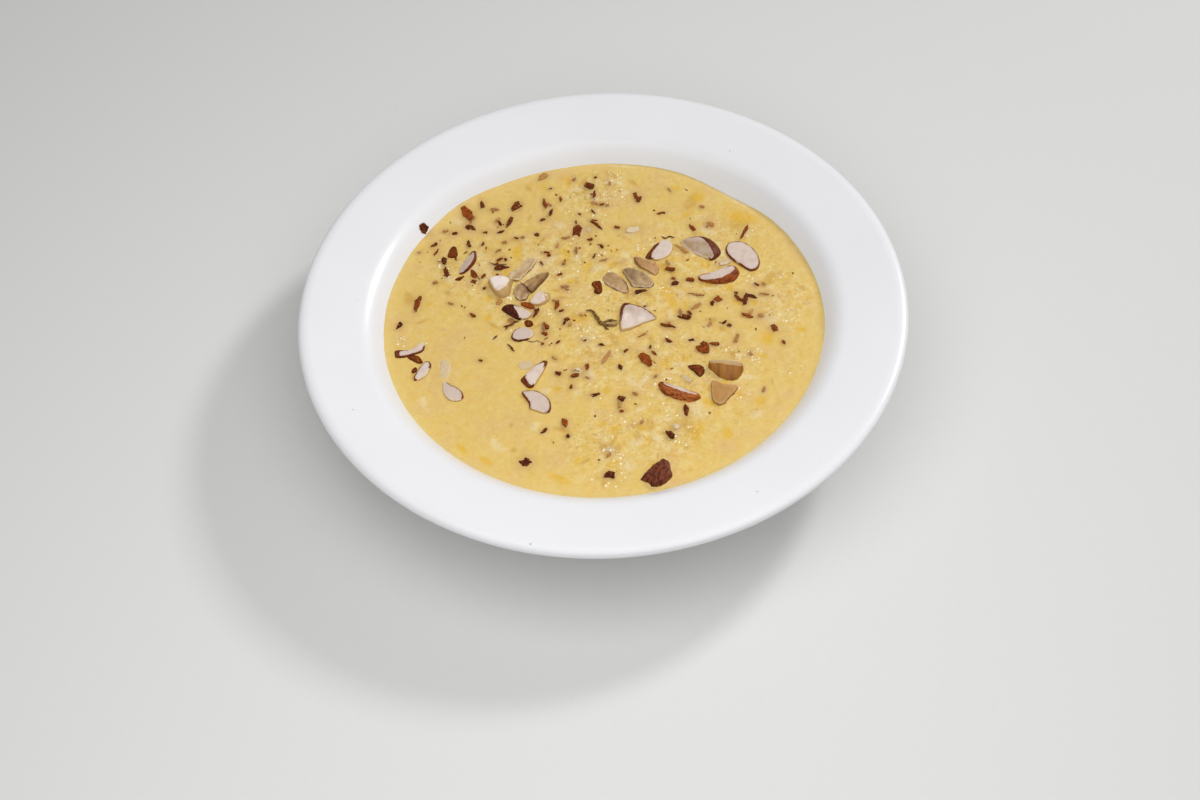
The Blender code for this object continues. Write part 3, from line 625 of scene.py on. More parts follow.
        (461.3, 273.2, 0.7, 1), (464.4, 271.3, 1, 1, 465.8, 273.5), (468.2, 267.5, 1.2, 1, 470.3, 269.8),
        (471.3, 263.5, 1.4, 1, 473.8, 265.2), (473.8, 259.5, 1.5, 1, 476.2, 260.2),
        (474.8, 255, 1.5, 1, 476.7, 254.5), (474, 251.7, 1.4, 1, 475.4, 250),
        (471.5, 252.9, 1.3, 1, 471.3, 251.5), (468, 256.3, 1.1, 0.2), (464.5, 261, 0.9, 0),
        (460.5, 266.5, 0.8, 0), (459.5, 272, 0.6, 0))),
    ("almond_white_chunk", "kernel", (
        (490.9, 282, 2.3, 0.1, 489.2, 286), (492.9, 286, 2.3, 0, 491.8, 290.5),
        (495.7, 289.4, 2.3, 0, 496, 295.5), (498.5, 289.8, 2.5, 0, 502, 298.5),
        (503, 287, 2.7, 0, 509.5, 296), (507, 283.7, 2.7, 0, 511.5, 288),
        (508.8, 278.7, 2.8, 0.1, 512.5, 280.5), (505, 276, 3, 0), (499, 275.2, 3, 0),
        (493, 276.2, 2.8, 0), (489.7, 278.3, 2.4, 0.1, 488.3, 281))),
    ("curled_flake", "soaked", (
        (509, 277.2, 0.6, 0), (513.5, 279.2, 0.7, 0), (518.7, 279.5, 0.8, 0.2), (523, 275.5, 0.9, 0.1),
        (527, 272, 1, 0), (530.7, 268, 1, 0), (534, 263.7, 1, 0), (536, 259.5, 1.1, 0),
        (531.5, 257.5, 1.3, 0), (527, 259, 1.3, 0.1), (523.5, 263.8, 1.1, 0), (518, 268.3, 0.9, 0),
        (511, 271.8, 0.7, 0))),
    # Its skin along the lower right side is a dark rim of painted shadow.
    ("leaf_flake", "soaked", (
        (548.3, 272, 1.4, 0.4), (545, 271.8, 1.5, 0.1), (540, 273.5, 1.6, 0.1), (534, 276.5, 1.5, 0.1),
        (526.4, 280.1, 1.3, 0), (524.2, 283.1, 1.2, 0), (527.4, 286.8, 1.2, 0.4),
        (531.4, 291.2, 1.1, 0.6), (535, 288.7, 1.2, 1), (538.7, 284.3, 1.3, 1), (542.7, 280.3, 1.4, 1),
        (546.4, 276, 1.5, 0.8))),
    ("folded_flake", "soaked", (
        (514.8, 287.5, 0.8, 0), (514.3, 292, 0.7, 0), (516, 296.8, 0.7, 0.1), (520.5, 299, 0.8, 0),
        (525.3, 298.3, 1, 0), (527.8, 294.5, 1.3, 0.3), (527.3, 289.5, 1.5, 0.8),
        (524.5, 285.3, 1.5, 0.8), (520.5, 283.8, 1.3, 0.6), (516.5, 284.5, 1, 0.1))),
    ("almond_small_middle", "kernel", (
        (532.3, 302.8, 1.1, 0), (536, 303.3, 1.1, 0, 536.8, 306), (541, 302.5, 1.2, 0, 544, 305),
        (545, 299.3, 1.5, 0, 549.8, 300.8), (543.6, 296, 1.8, 0, 551, 295.5),
        (543.3, 293, 2, 0, 548.5, 292), (539, 291.3, 2.2, 0), (535.7, 293.2, 2.2, 0.1),
        (532.8, 297, 1.9, 0.3), (530.3, 301, 1.5, 0.1))),
    ("almond_dark_middle", "skin", (
        (513.4, 307.6, 2.5, 1, 500.8, 306.8), (516, 311, 2.5, 1, 502.8, 310.8),
        (517.6, 315, 2.1, 1, 510, 315.6), (519.2, 318.3, 1.4, 0.9, 517.3, 319.8), (523.3, 318, 1, 0),
        (528, 316.8, 0.8, 0), (530.8, 313.5, 0.9, 0), (528, 310.8, 1.3, 0), (523.5, 308.3, 1.7, 0),
        (518.3, 306, 1.9, 0.5), (513.8, 304.8, 2.2, 1, 508, 303))),
    ("almond_oval_middle", "kernel", (
        (513.3, 338.5, 0.9, 1), (518, 340, 0.8, 1), (524, 339.7, 0.7, 1), (529.3, 337.7, 0.5, 0.3),
        (532.6, 334.5, 0.4, 0), (532.3, 331, 0.5, 0), (528, 327.8, 0.6, 0), (522.5, 327, 0.7, 0.2),
        (517.5, 328.3, 0.8, 0.8), (513.7, 331, 0.8, 1), (511.8, 335.5, 0.9, 1))),
)]
CHUNKS = [Piece(*row) for row in (
    ("chunk_left", "chip", (
        (452, 256.8, 0.5), (455.5, 256, 0.6), (457, 254, 0.7), (456.3, 250, 0.8), (455.5, 246.8, 0.7),
        (453, 246.3, 0.7), (450.5, 248.5, 0.7), (448.8, 252.5, 0.6), (448.3, 256, 0.3))),
    ("chunk_husk", "chip", (
        (595, 287, 0.7), (594.7, 291, 0.7), (597.5, 292, 0.8), (600.5, 291.5, 0.8), (601.5, 288, 0.9),
        (601, 284, 0.9), (600, 281, 0.9), (595, 281, 0.8), (592, 283.5, 0.4))),
    ("chunk_right", "chip", (
        (690, 367.5, 0.5), (694, 370, 0.6), (697, 373, 0.7), (700, 375.5, 0.7), (702, 374, 0.8),
        (704, 370, 0.9), (703, 366.5, 0.9), (699, 364.5, 0.9), (693, 364.5, 0.8), (688.5, 365.5, 0.5))),
    ("flake_sliver_left", "chip", (
        (409, 358, 0.3), (413, 360, 0.3), (418, 362.5, 0.3), (422, 362, 0.4), (420, 358, 0.5),
        (417, 355.8, 0.5), (412, 355.3, 0.4), (407, 356, 0.3))),
    ("flake_narrow_left", "chip", (
        (413.5, 372, 0.4), (415.5, 370.5, 0.5), (416.3, 368, 0.6), (415, 367.3, 0.6), (412.7, 369, 0.5),
        (412, 371.5, 0.4))),
    ("flake_slanted_back", "chip", (
        (459.5, 280, 0.3), (462, 278, 0.3), (464, 275.8, 0.4), (461, 276.5, 0.4), (457, 277.8, 0.4),
        (455, 279.5, 0.3))),
    ("chunk_oval_middle", "chip", (
        (526.3, 324.8, 0.5), (529.5, 325.3, 0.5), (532.3, 324, 0.6), (531.5, 321, 0.7), (528, 319.8, 0.7),
        (525, 321, 0.5))),
)]
PALE_CHUNKS = [Piece(*row) for row in (
    ("ghost_left", "pale", (
        (440.8, 367, 0.1), (440.8, 374, 0.1), (442.5, 378.5, 0.1), (446, 375, 0.1), (448.5, 371, 0.1),
        (449.5, 366, 0.1), (448.5, 362.5, 0.1), (446, 360.5, 0.1), (442, 361, 0.1))),
    ("pale_pointed", "pale", (
        (519, 367, 0.2), (524, 368.5, 0.2), (531, 366, 0.2), (530, 361, 0.2), (525.5, 361, 0.2),
        (520, 363, 0.2))),
)]
print("nut pieces", len(PIECES), "chunks", len(CHUNKS), len(PALE_CHUNKS))

# %% [markdown]
# From corners to outlines
#
# Each pixel turns to a place on the cream, and a smooth closed curve runs through the places.
# It carries two outlines at once: the edge of the face, and the foot, where the side meets
# the cream. A corner without a foot of its own gets one just outside it. Behind the face the
# foot is hidden, so there its pixel is where the side bulges, up to half the face's height.

# %% Turn the corners to outlines
AROUND = 112
FOOT_OUT = 0.25
BEHIND_PX = (-4.0, 2.0)
BULGE_HEIGHT = 0.5


def foot_place(corner):
    """Where a corner's side meets the cream, from the pixel of its foot."""
    behind = float(np.interp(corner.py - corner.foot_py, BEHIND_PX, (0.0, 1.0)))
    return on_cream(corner.foot_px, corner.foot_py, BULGE_HEIGHT * corner.high * behind)


def in_millimetres(corners):
    """Rows of x, y, height, foot x, foot y and skin, one for each corner of a piece."""
    corners = [Corner(*corner) for corner in corners]
    tops = np.array([on_cream(corner.px, corner.py, corner.high) for corner in corners])
    run = np.roll(tops, -1, axis=0) - np.roll(tops, 1, axis=0)
    run /= np.linalg.norm(run, axis=1)[:, None]
    feet = tops + FOOT_OUT * np.column_stack((run[:, 1], -run[:, 0]))
    return [(*top, corner.high, *(foot_place(corner) if corner.foot_px else foot), corner.skin)
            for corner, top, foot in zip(corners, tops, feet)]


def closed_curve(rows, samples, smooth=True):
    """A closed line through rows of numbers, smooth or straight from row to row."""
    rows = np.asarray(rows, dtype=float)
    at = np.linspace(0, len(rows), samples, endpoint=False)
    first = at.astype(int)
    t = (at - first)[:, None]
    a, b, c, d = (rows[(first + step) % len(rows)] for step in (-1, 0, 1, 2))
    if not smooth:
        return b + t * (c - b)
    curve = b + t / 2 * (c - a + t * (2 * a - 5 * b + 4 * c - d + t * (3 * (b - c) + d - a)))
    curve[:, 5] = np.clip(curve[:, 5], 0.0, 1.0)
    return curve


def from_edge(places, outline):
    """Distance of places from a closed outline: above zero inside it, below zero outside."""
    x, y = places[:, 0], places[:, 1]
    nearest = np.full(len(places), np.inf)
    within = np.zeros(len(places), dtype=bool)
    for (ax, ay), (bx, by) in zip(np.roll(outline, 1, axis=0), outline):
        run_x, run_y = bx - ax, by - ay
        share = ((x - ax) * run_x + (y - ay) * run_y) / (run_x ** 2 + run_y ** 2 + 1e-12)
        share = np.clip(share, 0.0, 1.0)
        nearest = np.minimum(nearest, np.hypot(x - ax - share * run_x, y - ay - share * run_y))
        if ay != by:
            within ^= ((ay > y) != (by > y)) & (x < ax + (y - ay) * run_x / run_y)
    return np.where(within, nearest, -nearest)


EDGES = {piece.name: closed_curve(in_millimetres(piece.corners), AROUND) for piece in PIECES + CHUNKS}


def clear_of_nuts(places):
    """How far places lie from the nearest nut piece, in millimetres, and below zero inside one."""
    return np.min([-from_edge(places, edge[:, 3:5]) for edge in EDGES.values()], axis=0)


wedge = EDGES["almond_wedge"]
print("outlines", len(EDGES), "the wedge is", np.ptp(wedge[:, :2], axis=0).round(1), "mm")

# %% [markdown]
# The flakes
#
# Chopping almonds leaves chips of brown skin, tan husk and pale kernel. The larger chips of
# the photograph are rows measured on it: where a chip lies (across and away), its length, its
# width and its turn in degrees. The small ones are too many to name, so they are strewn by
# chance in round zones (across, away, reach) where the photograph has most of them.

# %% List the flakes
Flake = namedtuple("Flake", "x y long wide turn")
SKIN_FLAKES = [Flake(*row) for row in (
    (-51.5, 59, 7.5, 5, 100), (15, -21.5, 8.5, 3.5, 125), (37, -17.5, 5.5, 5, 40), (-30.5, -66, 5, 4.5, 135),
    (-8, 45.5, 6, 4, 80), (-70.5, 13.5, 8.5, 2.5, 80), (55, 5.5, 8, 2, 80), (22, -57, 4.5, 3.5, 115),
    (-1, -74, 4.5, 3, 170), (-2, 70.5, 4.5, 4, 170), (31, -2, 6, 2.5, 160), (-32, 62, 5.5, 3, 70),
    (5, -39.5, 3.5, 3, 55), (-38.5, 29, 6.5, 2.5, 175), (28.5, -47, 5, 2, 95), (-45.5, 64, 6, 2, 95),
    (-49, 26, 6, 2, 110), (-28.5, 8.5, 5, 2.5, 145), (34.5, 17, 4.5, 2, 175), (-50.5, 51.5, 4.5, 2.5, 145),
    (-22, -2, 4.5, 2, 120), (-16, -49.5, 4, 2.5, 95), (44.5, 6.5, 3.5, 2.5, 20), (57.5, 40.5, 7, 1.5, 65),
    (-77.5, 2.5, 3.5, 2.5, 55), (64.5, -9.5, 3, 3, 75), (16, 64, 5.5, 2, 105), (-0.5, 49, 6.5, 1.5, 130),
    (37.5, 44.5, 5.5, 2, 110), (-24, 45.5, 4.5, 2, 130), (-20.5, 62.5, 6, 1.5, 95), (-60.5, 34, 4, 2, 100),
    (15.5, 12.5, 6, 2, 15), (55, -2.5, 5, 1.5, 150), (-68.5, 50.5, 4.5, 3.5, 35),
)]
TAN_FLAKES = [Flake(*row) for row in (
    (-20.5, 77.5, 5.5, 2.5, 45), (32.5, 33.5, 6.5, 2, 135), (36, 3.5, 4.5, 2, 35), (44.5, 46, 4, 2.5, 130),
    (0.5, -19.5, 5.5, 2, 65), (50, -13.5, 6, 1.5, 70), (36, 9.5, 6, 1, 165),
)]
PALE_FLAKES = [Flake(*row) for row in (
    (-3.5, 47, 3.6, 3.2, 15), (14, 45.5, 6.0, 3.0, 10), (-10.5, -25, 4.5, 3.2, 15),
    (30, -32, 4.5, 1.8, -45), (24.5, -53.5, 3.5, 2.6, -10),
    (-1.5, -62, 3.6, 2.4, -20), (48.5, 25, 5.0, 2.4, 15),
)]
FLAKE_ZONES = ((-33, 8, 24), (42, 8, 24), (2, -18, 28), (-52, 42, 22), (-8, 50, 28))
ANYWHERE = ((0, 0, 79),)
FLAKE_GAP = 0.3


def strew(seed, count, zones, long, wide):
    """Rows for chips or spots, strewn by chance in round zones given as (x, y, reach)."""
    draw = random.Random(seed)
    rows = []
    while len(rows) < count:
        x, y, reach = draw.choice(zones)
        away, around = reach * sqrt(draw.random()), draw.uniform(0.0, 2 * pi)
        length = draw.uniform(*long)
        row = Flake(x + away * cos(around), y + away * sin(around), length,
                    min(draw.uniform(*wide), length), draw.uniform(0.0, 180.0))
        if hypot(row.x, row.y) < PUDDING_RADIUS - 2.0:
            rows.append(row)
    return rows


def off_nuts(flakes):
    """The flakes that lie clear of the nut pieces."""
    gaps = clear_of_nuts(np.array([(flake.x, flake.y) for flake in flakes]))
    return [flake for flake, gap in zip(flakes, gaps) if gap > FLAKE_GAP + flake.wide / 2]


SKIN_FLAKES += off_nuts(strew(21, 22, FLAKE_ZONES, (3.0, 5.2), (1.3, 2.2)))
SKIN_FLAKES += off_nuts(strew(22, 80, FLAKE_ZONES + ANYWHERE, (1.4, 3.6), (0.9, 1.6)))
TAN_FLAKES += off_nuts(strew(23, 10, FLAKE_ZONES, (2.7, 4.5), (1.5, 2.2)))
TAN_FLAKES += off_nuts(strew(24, 52, FLAKE_ZONES + 3 * ANYWHERE, (1.5, 4.0), (0.9, 1.6)))
ALL_FLAKES = SKIN_FLAKES + TAN_FLAKES + PALE_FLAKES
print("flakes", len(SKIN_FLAKES), "of skin", len(TAN_FLAKES), "of husk", len(PALE_FLAKES), "of kernel")

# %% [markdown]
# Where the rice lies
#
# Boiled rice for a pudding swells to grains about 4 mm long and 2 mm wide. They lie in the
# cream every way round, most of them just under its skin. An uneven triangular net spreads
# them as evenly as stirring does. Each grain's top is a little over or under the calm level.

# %% Strew the rice grains
GRAIN_PITCH = 4.1
GRAIN_STRAY = 1.3
GRAIN_LENGTH = (3.4, 4.8)
GRAIN_WIDTH = (1.7, 2.2)
GRAIN_TOP = (-0.55, 0.5)
GRAIN_SEED = 12

Grain = namedtuple("Grain", "x y turn long wide top")


def strew_grains():
    """Grains on an uneven triangular net inside the cream's edge."""
    draw = random.Random(GRAIN_SEED)
    row_pitch = GRAIN_PITCH * sqrt(3) / 2
    rows = int(PUDDING_RADIUS / row_pitch) + 1
    grains = []
    for row in range(-rows, rows + 1):
        for column in range(-rows, rows + 1):
            x = (column + 0.5 * (row % 2)) * GRAIN_PITCH + draw.uniform(-GRAIN_STRAY, GRAIN_STRAY)
            y = row * row_pitch + draw.uniform(-GRAIN_STRAY, GRAIN_STRAY)
            grain = Grain(x, y, draw.uniform(0.0, pi), draw.uniform(*GRAIN_LENGTH),
                          draw.uniform(*GRAIN_WIDTH), draw.triangular(*GRAIN_TOP))
            if hypot(x, y) < PUDDING_RADIUS - 1.5:
                grains.append(grain)
    return grains


GRAINS = strew_grains()
print("grains", len(GRAINS), "of which over the level", sum(grain.top > 0 for grain in GRAINS))

# %% [markdown]
# Soft spots in the cream
#
# Cooked milk and rice are never one colour. Saffron bleeds out in deep yellow spots, lumps of
# starch stand out pale, threads leave rosy spots, and some spots are simply darker.
# The largest spots of the photograph are rows measured on it, with length, width and turn like
# the flakes, and the small ones come by chance. Most lie in the lumpy zones, and so do the
# clusters of wet bubbles that glitter. The rest of the cream is calm.

# %% List the soft spots
LUMPY_ZONES = ((40, 27, 26), (10, 14, 24), (0, -16, 22), (30, -26, 26), (-16, 32, 20), (18, -56, 18),
               (-50, 28, 16), (-30, 8, 16), (0, 66, 14), (-2, -60, 16), (70, 6, 13))
SAFFRON_SPOTS = [Flake(*row) for row in (
    (57, 49, 13, 7, 155), (61.5, -14, 8, 5.5, 80), (-9, 1, 8, 5, 0), (25.5, 10, 17, 4, 110),
    (-32, 37, 8.5, 4.5, 85), (43, -58, 6, 4, 100), (-19, -74, 9, 3, 150), (32, -56.5, 9, 5, 70),
    (41, 61.5, 5.5, 5, 65), (22.5, -24.5, 5, 4.5, 20), (-13, 34, 7.5, 3.5, 95), (41, 25, 5.5, 4, 115),
    (-54, -58.5, 6.5, 3, 125), (-45.5, -64, 6.5, 2.5, 135), (56, -44, 5, 4, 65),
)]
PALE_LUMPS = [Flake(*row) for row in (
    (-60, -20.5, 10, 4.5, 90), (55.5, 59, 17.5, 2.5, 135), (-26, 28.5, 19, 8.5, 70), (54, -50, 6.5, 4.5, 10),
    (32.5, -46, 8.5, 6.5, 110), (-6, -27.5, 7.5, 5, 90), (43, 42.5, 8.5, 4, 135), (48, 26, 6.5, 4.5, 25),
    (-1, 25.5, 7.5, 4, 45), (13, 44, 8, 4, 60), (17, -58.5, 7, 3, 125), (11.5, 81, 16.5, 1.5, 170),
)]
DIM_SPOTS = [Flake(*row) for row in (
    (38, 59, 13, 6, 60), (55.5, 46, 10.5, 7, 45), (29.5, -55, 14, 5, 110), (65.5, 16.5, 7, 4, 60),
    (3.5, -10, 9.5, 3.5, 130), (-74, 15.5, 7, 5, 95), (11, 11.5, 9, 4, 60),
)]
SAFFRON_SPOTS += strew(51, 42, LUMPY_ZONES + 6 * ANYWHERE, (2.5, 6.5), (1.8, 3.4))
PALE_LUMPS += strew(52, 54, LUMPY_ZONES + 5 * ANYWHERE, (3.5, 7.5), (2.2, 4.2))
DIM_SPOTS += strew(53, 58, LUMPY_ZONES + 12 * ANYWHERE, (2.5, 7.5), (1.5, 3.6))
ROSY_SPOTS = strew(54, 22, LUMPY_ZONES + 6 * ANYWHERE, (2.2, 6.0), (1.3, 2.6))
GLINTS = strew(55, 92, LUMPY_ZONES + 2 * ANYWHERE, (5.0, 10.0), (5.0, 9.0))
print("soft spots", len(SAFFRON_SPOTS) + len(PALE_LUMPS) + len(ROSY_SPOTS) + len(DIM_SPOTS),
      "and glint clusters", len(GLINTS))

# %% [markdown]
# What lifts the cream
#
# The cream's skin drapes over the grains near the top, climbs a little where it touches a nut
# or a flake, and sags between. Each function below takes the places of all points at once, as
# arrays, and looks only at the points near one grain, nut, flake or spot at a time.

# %% Lift the cream over what lies in it
GRAIN_DRAPE = 0.30
GRAIN_HOLLOW = 0.12
GRAIN_SHOWS = 0.16
GRAIN_REACH = 4.0
NUT_REACH = 14.0
NUT_CLIMB_REACH = 0.8
NUT_CLIMB_FULL = 1.2
UNDER_NUT_REACH = 0.9
FLAKE_REACH = 3.0
FLAKE_NARROWEST = 0.8
FLAKE_CLIMB_REACH = 0.6
STAIN_REACH = 0.9
SPOT_REACH = 0.9


def near(places, x, y, reach):
    """Numbers of the places within a square round (x, y)."""
    close = (np.abs(places[:, 0] - x) < reach) & (np.abs(places[:, 1] - y) < reach)
    return np.nonzero(close)[0]


def turned(places, thing):
    """Places as (along, aside) of a grain or flake, in millimetres. Turn is in radians."""
    x, y = places[:, 0] - thing.x, places[:, 1] - thing.y
    return x * cos(thing.turn) + y * sin(thing.turn), y * cos(thing.turn) - x * sin(thing.turn)


def grain_relief(places):
    """How far the cream's skin is lifted by the grains under it."""
    lift = np.full(len(places), -GRAIN_HOLLOW)
    for grain in GRAINS:
        spots = near(places, grain.x, grain.y, GRAIN_REACH)
        along, aside = turned(places[spots], grain)
        shape = np.exp(-(2 * along / grain.long) ** 2 * 1.1 - (2 * aside / grain.wide) ** 2 * 0.75)
        top = GRAIN_DRAPE * (GRAIN_SHOWS + max(grain.top, -GRAIN_SHOWS))
        lift[spots] = np.maximum(lift[spots], top * shape - GRAIN_HOLLOW * (1 - shape))
    return lift


def nut_relief(places):
    """How far the cream climbs beside the nut pieces, and where it dips under them."""
    climb, under = np.zeros(len(places)), np.zeros(len(places))
    for edge in EDGES.values():
        foot = edge[:, 3:5]
        spots = near(places, *foot.mean(axis=0), NUT_REACH)
        inward = from_edge(places[spots], foot)
        gaps = np.linalg.norm(places[spots][:, None] - foot[None], axis=2)
        high = edge[gaps.argmin(axis=1), 2]
        beside = np.exp(-np.maximum(-inward, 0.0) / NUT_CLIMB_REACH)
        climb[spots] = np.maximum(climb[spots], beside * np.minimum(high / NUT_CLIMB_FULL, 1.0))
        under[spots] = np.maximum(under[spots], np.clip(inward / UNDER_NUT_REACH, 0.0, 1.0))
    return climb, under


def flake_relief(places):
    """How far the cream climbs beside the flakes, and the stain that a flake leaves round it."""
    climb = np.zeros(len(places))
    stain = np.zeros(len(places))
    for flake in ALL_FLAKES:
        flake = flake._replace(turn=radians(flake.turn))
        spots = near(places, flake.x, flake.y, flake.long + FLAKE_REACH)
        along, aside = turned(places[spots], flake)
        half_long, half_wide = flake.long / 2, max(flake.wide, FLAKE_NARROWEST) / 2
        share = np.sqrt((along / half_long) ** 2 + (aside / half_wide) ** 2)
        away = np.maximum(share - 1, 0.0) * half_wide
        climb[spots] = np.maximum(climb[spots], np.exp(-away / FLAKE_CLIMB_REACH))
        far = (along / (half_long + STAIN_REACH)) ** 2 + (aside / (half_wide + STAIN_REACH)) ** 2
        stain[spots] += np.exp(-far)
    return climb, np.minimum(stain, 1.0)


def spread(places, spots):
    """How strongly each place lies in one of the soft spots, from 0 to 1."""
    value = np.zeros(len(places))
    for spot in spots:
        spot = spot._replace(turn=radians(spot.turn))
        close = near(places, spot.x, spot.y, SPOT_REACH * spot.long)
        along, aside = turned(places[close], spot)
        fall = (2 * along / spot.long) ** 2 + (2 * aside / spot.wide) ** 2
        value[close] = np.maximum(value[close], np.exp(-1.1 * fall))
    return value


grain_lift = grain_relief(np.array([(grain.x, grain.y) for grain in GRAINS]))
print("over a grain the cream lies", grain_lift.min().round(2), "to", grain_lift.max().round(2), "mm")

# %% [markdown]
# The cream's surface
#
# The cream is thick and wet: it swells and ripples softly, climbs where it touches something
# and meets the bowl's wall a little higher here and lower there, as spooned cream does. Each
# stray of the edge is a direction and a reach in degrees with a rise in millimetres. A
# square grid bent to a disc by a known formula keeps its cells nearly even.

# %% Shape the cream
CREAM_CELLS = 300
SWELL_PITCH = 21.0
SWELL = 0.12
RIPPLE_PITCH = 3.6
RIPPLE = 0.10
CALM_RIPPLE_SHARE = 0.35
BESIDE_NUT_SHARE = 0.25
LUMP = 0.14
SAG = 0.10
FROTH = 0.09
FROTH_PITCH = 1.9
NUT_CLIMB = 0.4
UNDER_NUT = 0.9
FLAKE_CLIMB = 0.13
WALL_CLIMB = 0.2
WALL_CLIMB_REACH = 1.5
EDGE_STRAYS = ((50.0, 13.0, -1.7), (95.0, 22.0, -0.55), (130.0, 11.0, 0.7), (356.0, 18.0, 0.9))
EDGE_WANDER = ((30.0, 0.128, 5), (7.0, 0.032, 6))
INTO_WALL = 0.25


def disc_grid(cells):
    """Places of a square grid bent to a disc of radius 1, and the grid's faces."""
    steps = np.linspace(-1.0, 1.0, cells + 1)
    u, v = (side.ravel() for side in np.meshgrid(steps, steps))
    places = np.column_stack((u * np.sqrt(1 - v * v / 2), v * np.sqrt(1 - u * u / 2)))
    row = cells + 1
    faces = [(j * row + i, j * row + i + 1, (j + 1) * row + i + 1, (j + 1) * row + i)
             for j in range(cells) for i in range(cells)]
    side = list(range(cells))
    edge = (side + [i * row + cells for i in side] + [cells * row + cells - i for i in side]
            + [(cells - i) * row for i in side])
    return places, faces, edge


def cream_edge(around):
    """Height and radius of the cream's edge on the wall, for directions round the axis."""
    ring = np.column_stack((np.cos(around), np.sin(around))) * PUDDING_RADIUS
    wander = sum(share * unevenness(ring, pitch, seed) for pitch, share, seed in EDGE_WANDER)
    high = PUDDING_LEVEL + WALL_CLIMB + wander
    for turn, reach, rise in EDGE_STRAYS:
        away = (np.degrees(around) - turn + 180) % 360 - 180
        high += rise * np.exp(-(away / reach) ** 2)
    radii, heights = zip(*inside_wall())
    return high, np.interp(high, heights, radii) + INTO_WALL


def soft_spots(places, stain):
    """How strongly each kind of spot shows at each place, from 0 to 1."""
    zones = [Flake(x, y, 2 * reach, 2 * reach, 0) for x, y, reach in LUMPY_ZONES]
    kinds = {"saffron": SAFFRON_SPOTS, "pale": PALE_LUMPS, "rosy": ROSY_SPOTS, "dim": DIM_SPOTS,
             "glitter": GLINTS, "lumpy": zones}
    return {**{name: spread(places, rows) for name, rows in kinds.items()}, "stain": stain}


def cream_top(disc):
    """Places of the cream's top, and the spots on it."""
    edge_height, edge_radius = cream_edge(np.arctan2(disc[:, 1], disc[:, 0]))
    places = disc * edge_radius[:, None]
    flake_climb, stain = flake_relief(places)
    nut_climb, under_nut = nut_relief(places)
    inside = edge_radius - np.hypot(places[:, 0], places[:, 1]) - INTO_WALL
    wall_climb = np.exp(-np.maximum(inside, 0.0) / WALL_CLIMB_REACH)
    free = 1 - np.maximum(np.maximum(nut_climb, flake_climb), wall_climb)
    spots = soft_spots(places, stain)
    rough = CALM_RIPPLE_SHARE + (1 - CALM_RIPPLE_SHARE) * spots["lumpy"]
    grains = grain_relief(places) * (BESIDE_NUT_SHARE + (1 - BESIDE_NUT_SHARE) * free)
    froth = spots["glitter"] * unevenness(places, FROTH_PITCH, 4)
    height = (level(places[:, 0], places[:, 1]) + SWELL * unevenness(places, SWELL_PITCH, 2)
              + RIPPLE * rough * unevenness(places, RIPPLE_PITCH, 3)
              + free * (LUMP * spots["pale"] - SAG * spots["saffron"] + FROTH * froth) + grains
              + NUT_CLIMB * nut_climb ** 2 + FLAKE_CLIMB * flake_climb ** 2 - UNDER_NUT * under_nut)
    height = height * (1 - wall_climb) + edge_height * wall_climb
    return np.column_stack((places, height)), spots


def shape_cream(material):
    """The pudding's body: its fine top, and its side and floor inside the bowl."""
    disc, faces, edge = disc_grid(CREAM_CELLS)
    top, spots = cream_top(disc)
    ring = disc[edge] / np.linalg.norm(disc[edge], axis=1)[:, None]
    body, last, count = [top], edge, len(top)
    for r, z in well_curve(6)[1:]:
        numbers = list(range(count, count + len(edge)))
        faces += [(last[i - 1], numbers[i - 1], numbers[i], last[i]) for i in range(len(edge))]
        body.append(np.column_stack((ring * (r - GAP), np.full(len(edge), z + GAP))))
        last, count = numbers, count + len(edge)
    body.append(np.array([[0.0, 0.0, WELL_FLOOR_HEIGHT + GAP]]))
    faces += [(last[i - 1], count, last[i]) for i in range(len(edge))]
    made = add_piece("saffron_cream", np.vstack(body), faces, material, "saffron_cream")
    for name, values in spots.items():
        note(made, name, np.concatenate((values, np.zeros(count + 1 - len(top)))))
    return made, top


print("the cream's edge is", cream_edge(np.radians([0.0, 90.0]))[0].round(2), "mm high, right and back")

# %% [markdown]
# Saffron cream
#
# The cream is milk boiled down with rice starch and coloured with saffron. Light goes in a
# millimetre or so and comes back warm, so the small relief looks soft: that is subsurface
# scattering, deepest in red and least in blue. Thin milk between the lumps is a deeper
# yellow, and lumps of starch are paler. The skin is wet, so a thin clear coat catches the
# lamp in tiny glints, on its own finer bump. In the clusters of wet bubbles, white dots are
# also painted into the colour as glints, with small dark dots among them.

# %% Make the cream
CREAM = "#E4C370"
CREAM_DEEP = "#E0B64C"
SAFFRON = "#E3B63C"
CREAM_PALE = "#EBD494"
STARCH = "#EAD5A4"
CREAM_ROSY = "#DCB37E"
CREAM_DIM = "#CFA44B"
CREAM_TAN = "#B58C4C"
CREAM_STAINED = "#AE7F50"
# Painted glints: white dots in the colour that stand in for the lamp's reflection on wet bubbles.
PAINTED_GLINT = "#FFF6D8"
PAINTED_GLINT_SPACING = 1.2
GLINT_DARK_DOT_SPACING = 0.85
CRUMB_SPACING = 2.1
PATCH_SIZE = 14.0
BLOTCH_SIZE = 3.4
MOTTLE_SIZE = 1.3
DROPLET_SIZE = 0.7
THIN_EDGE = (79 * MM, 83 * MM)


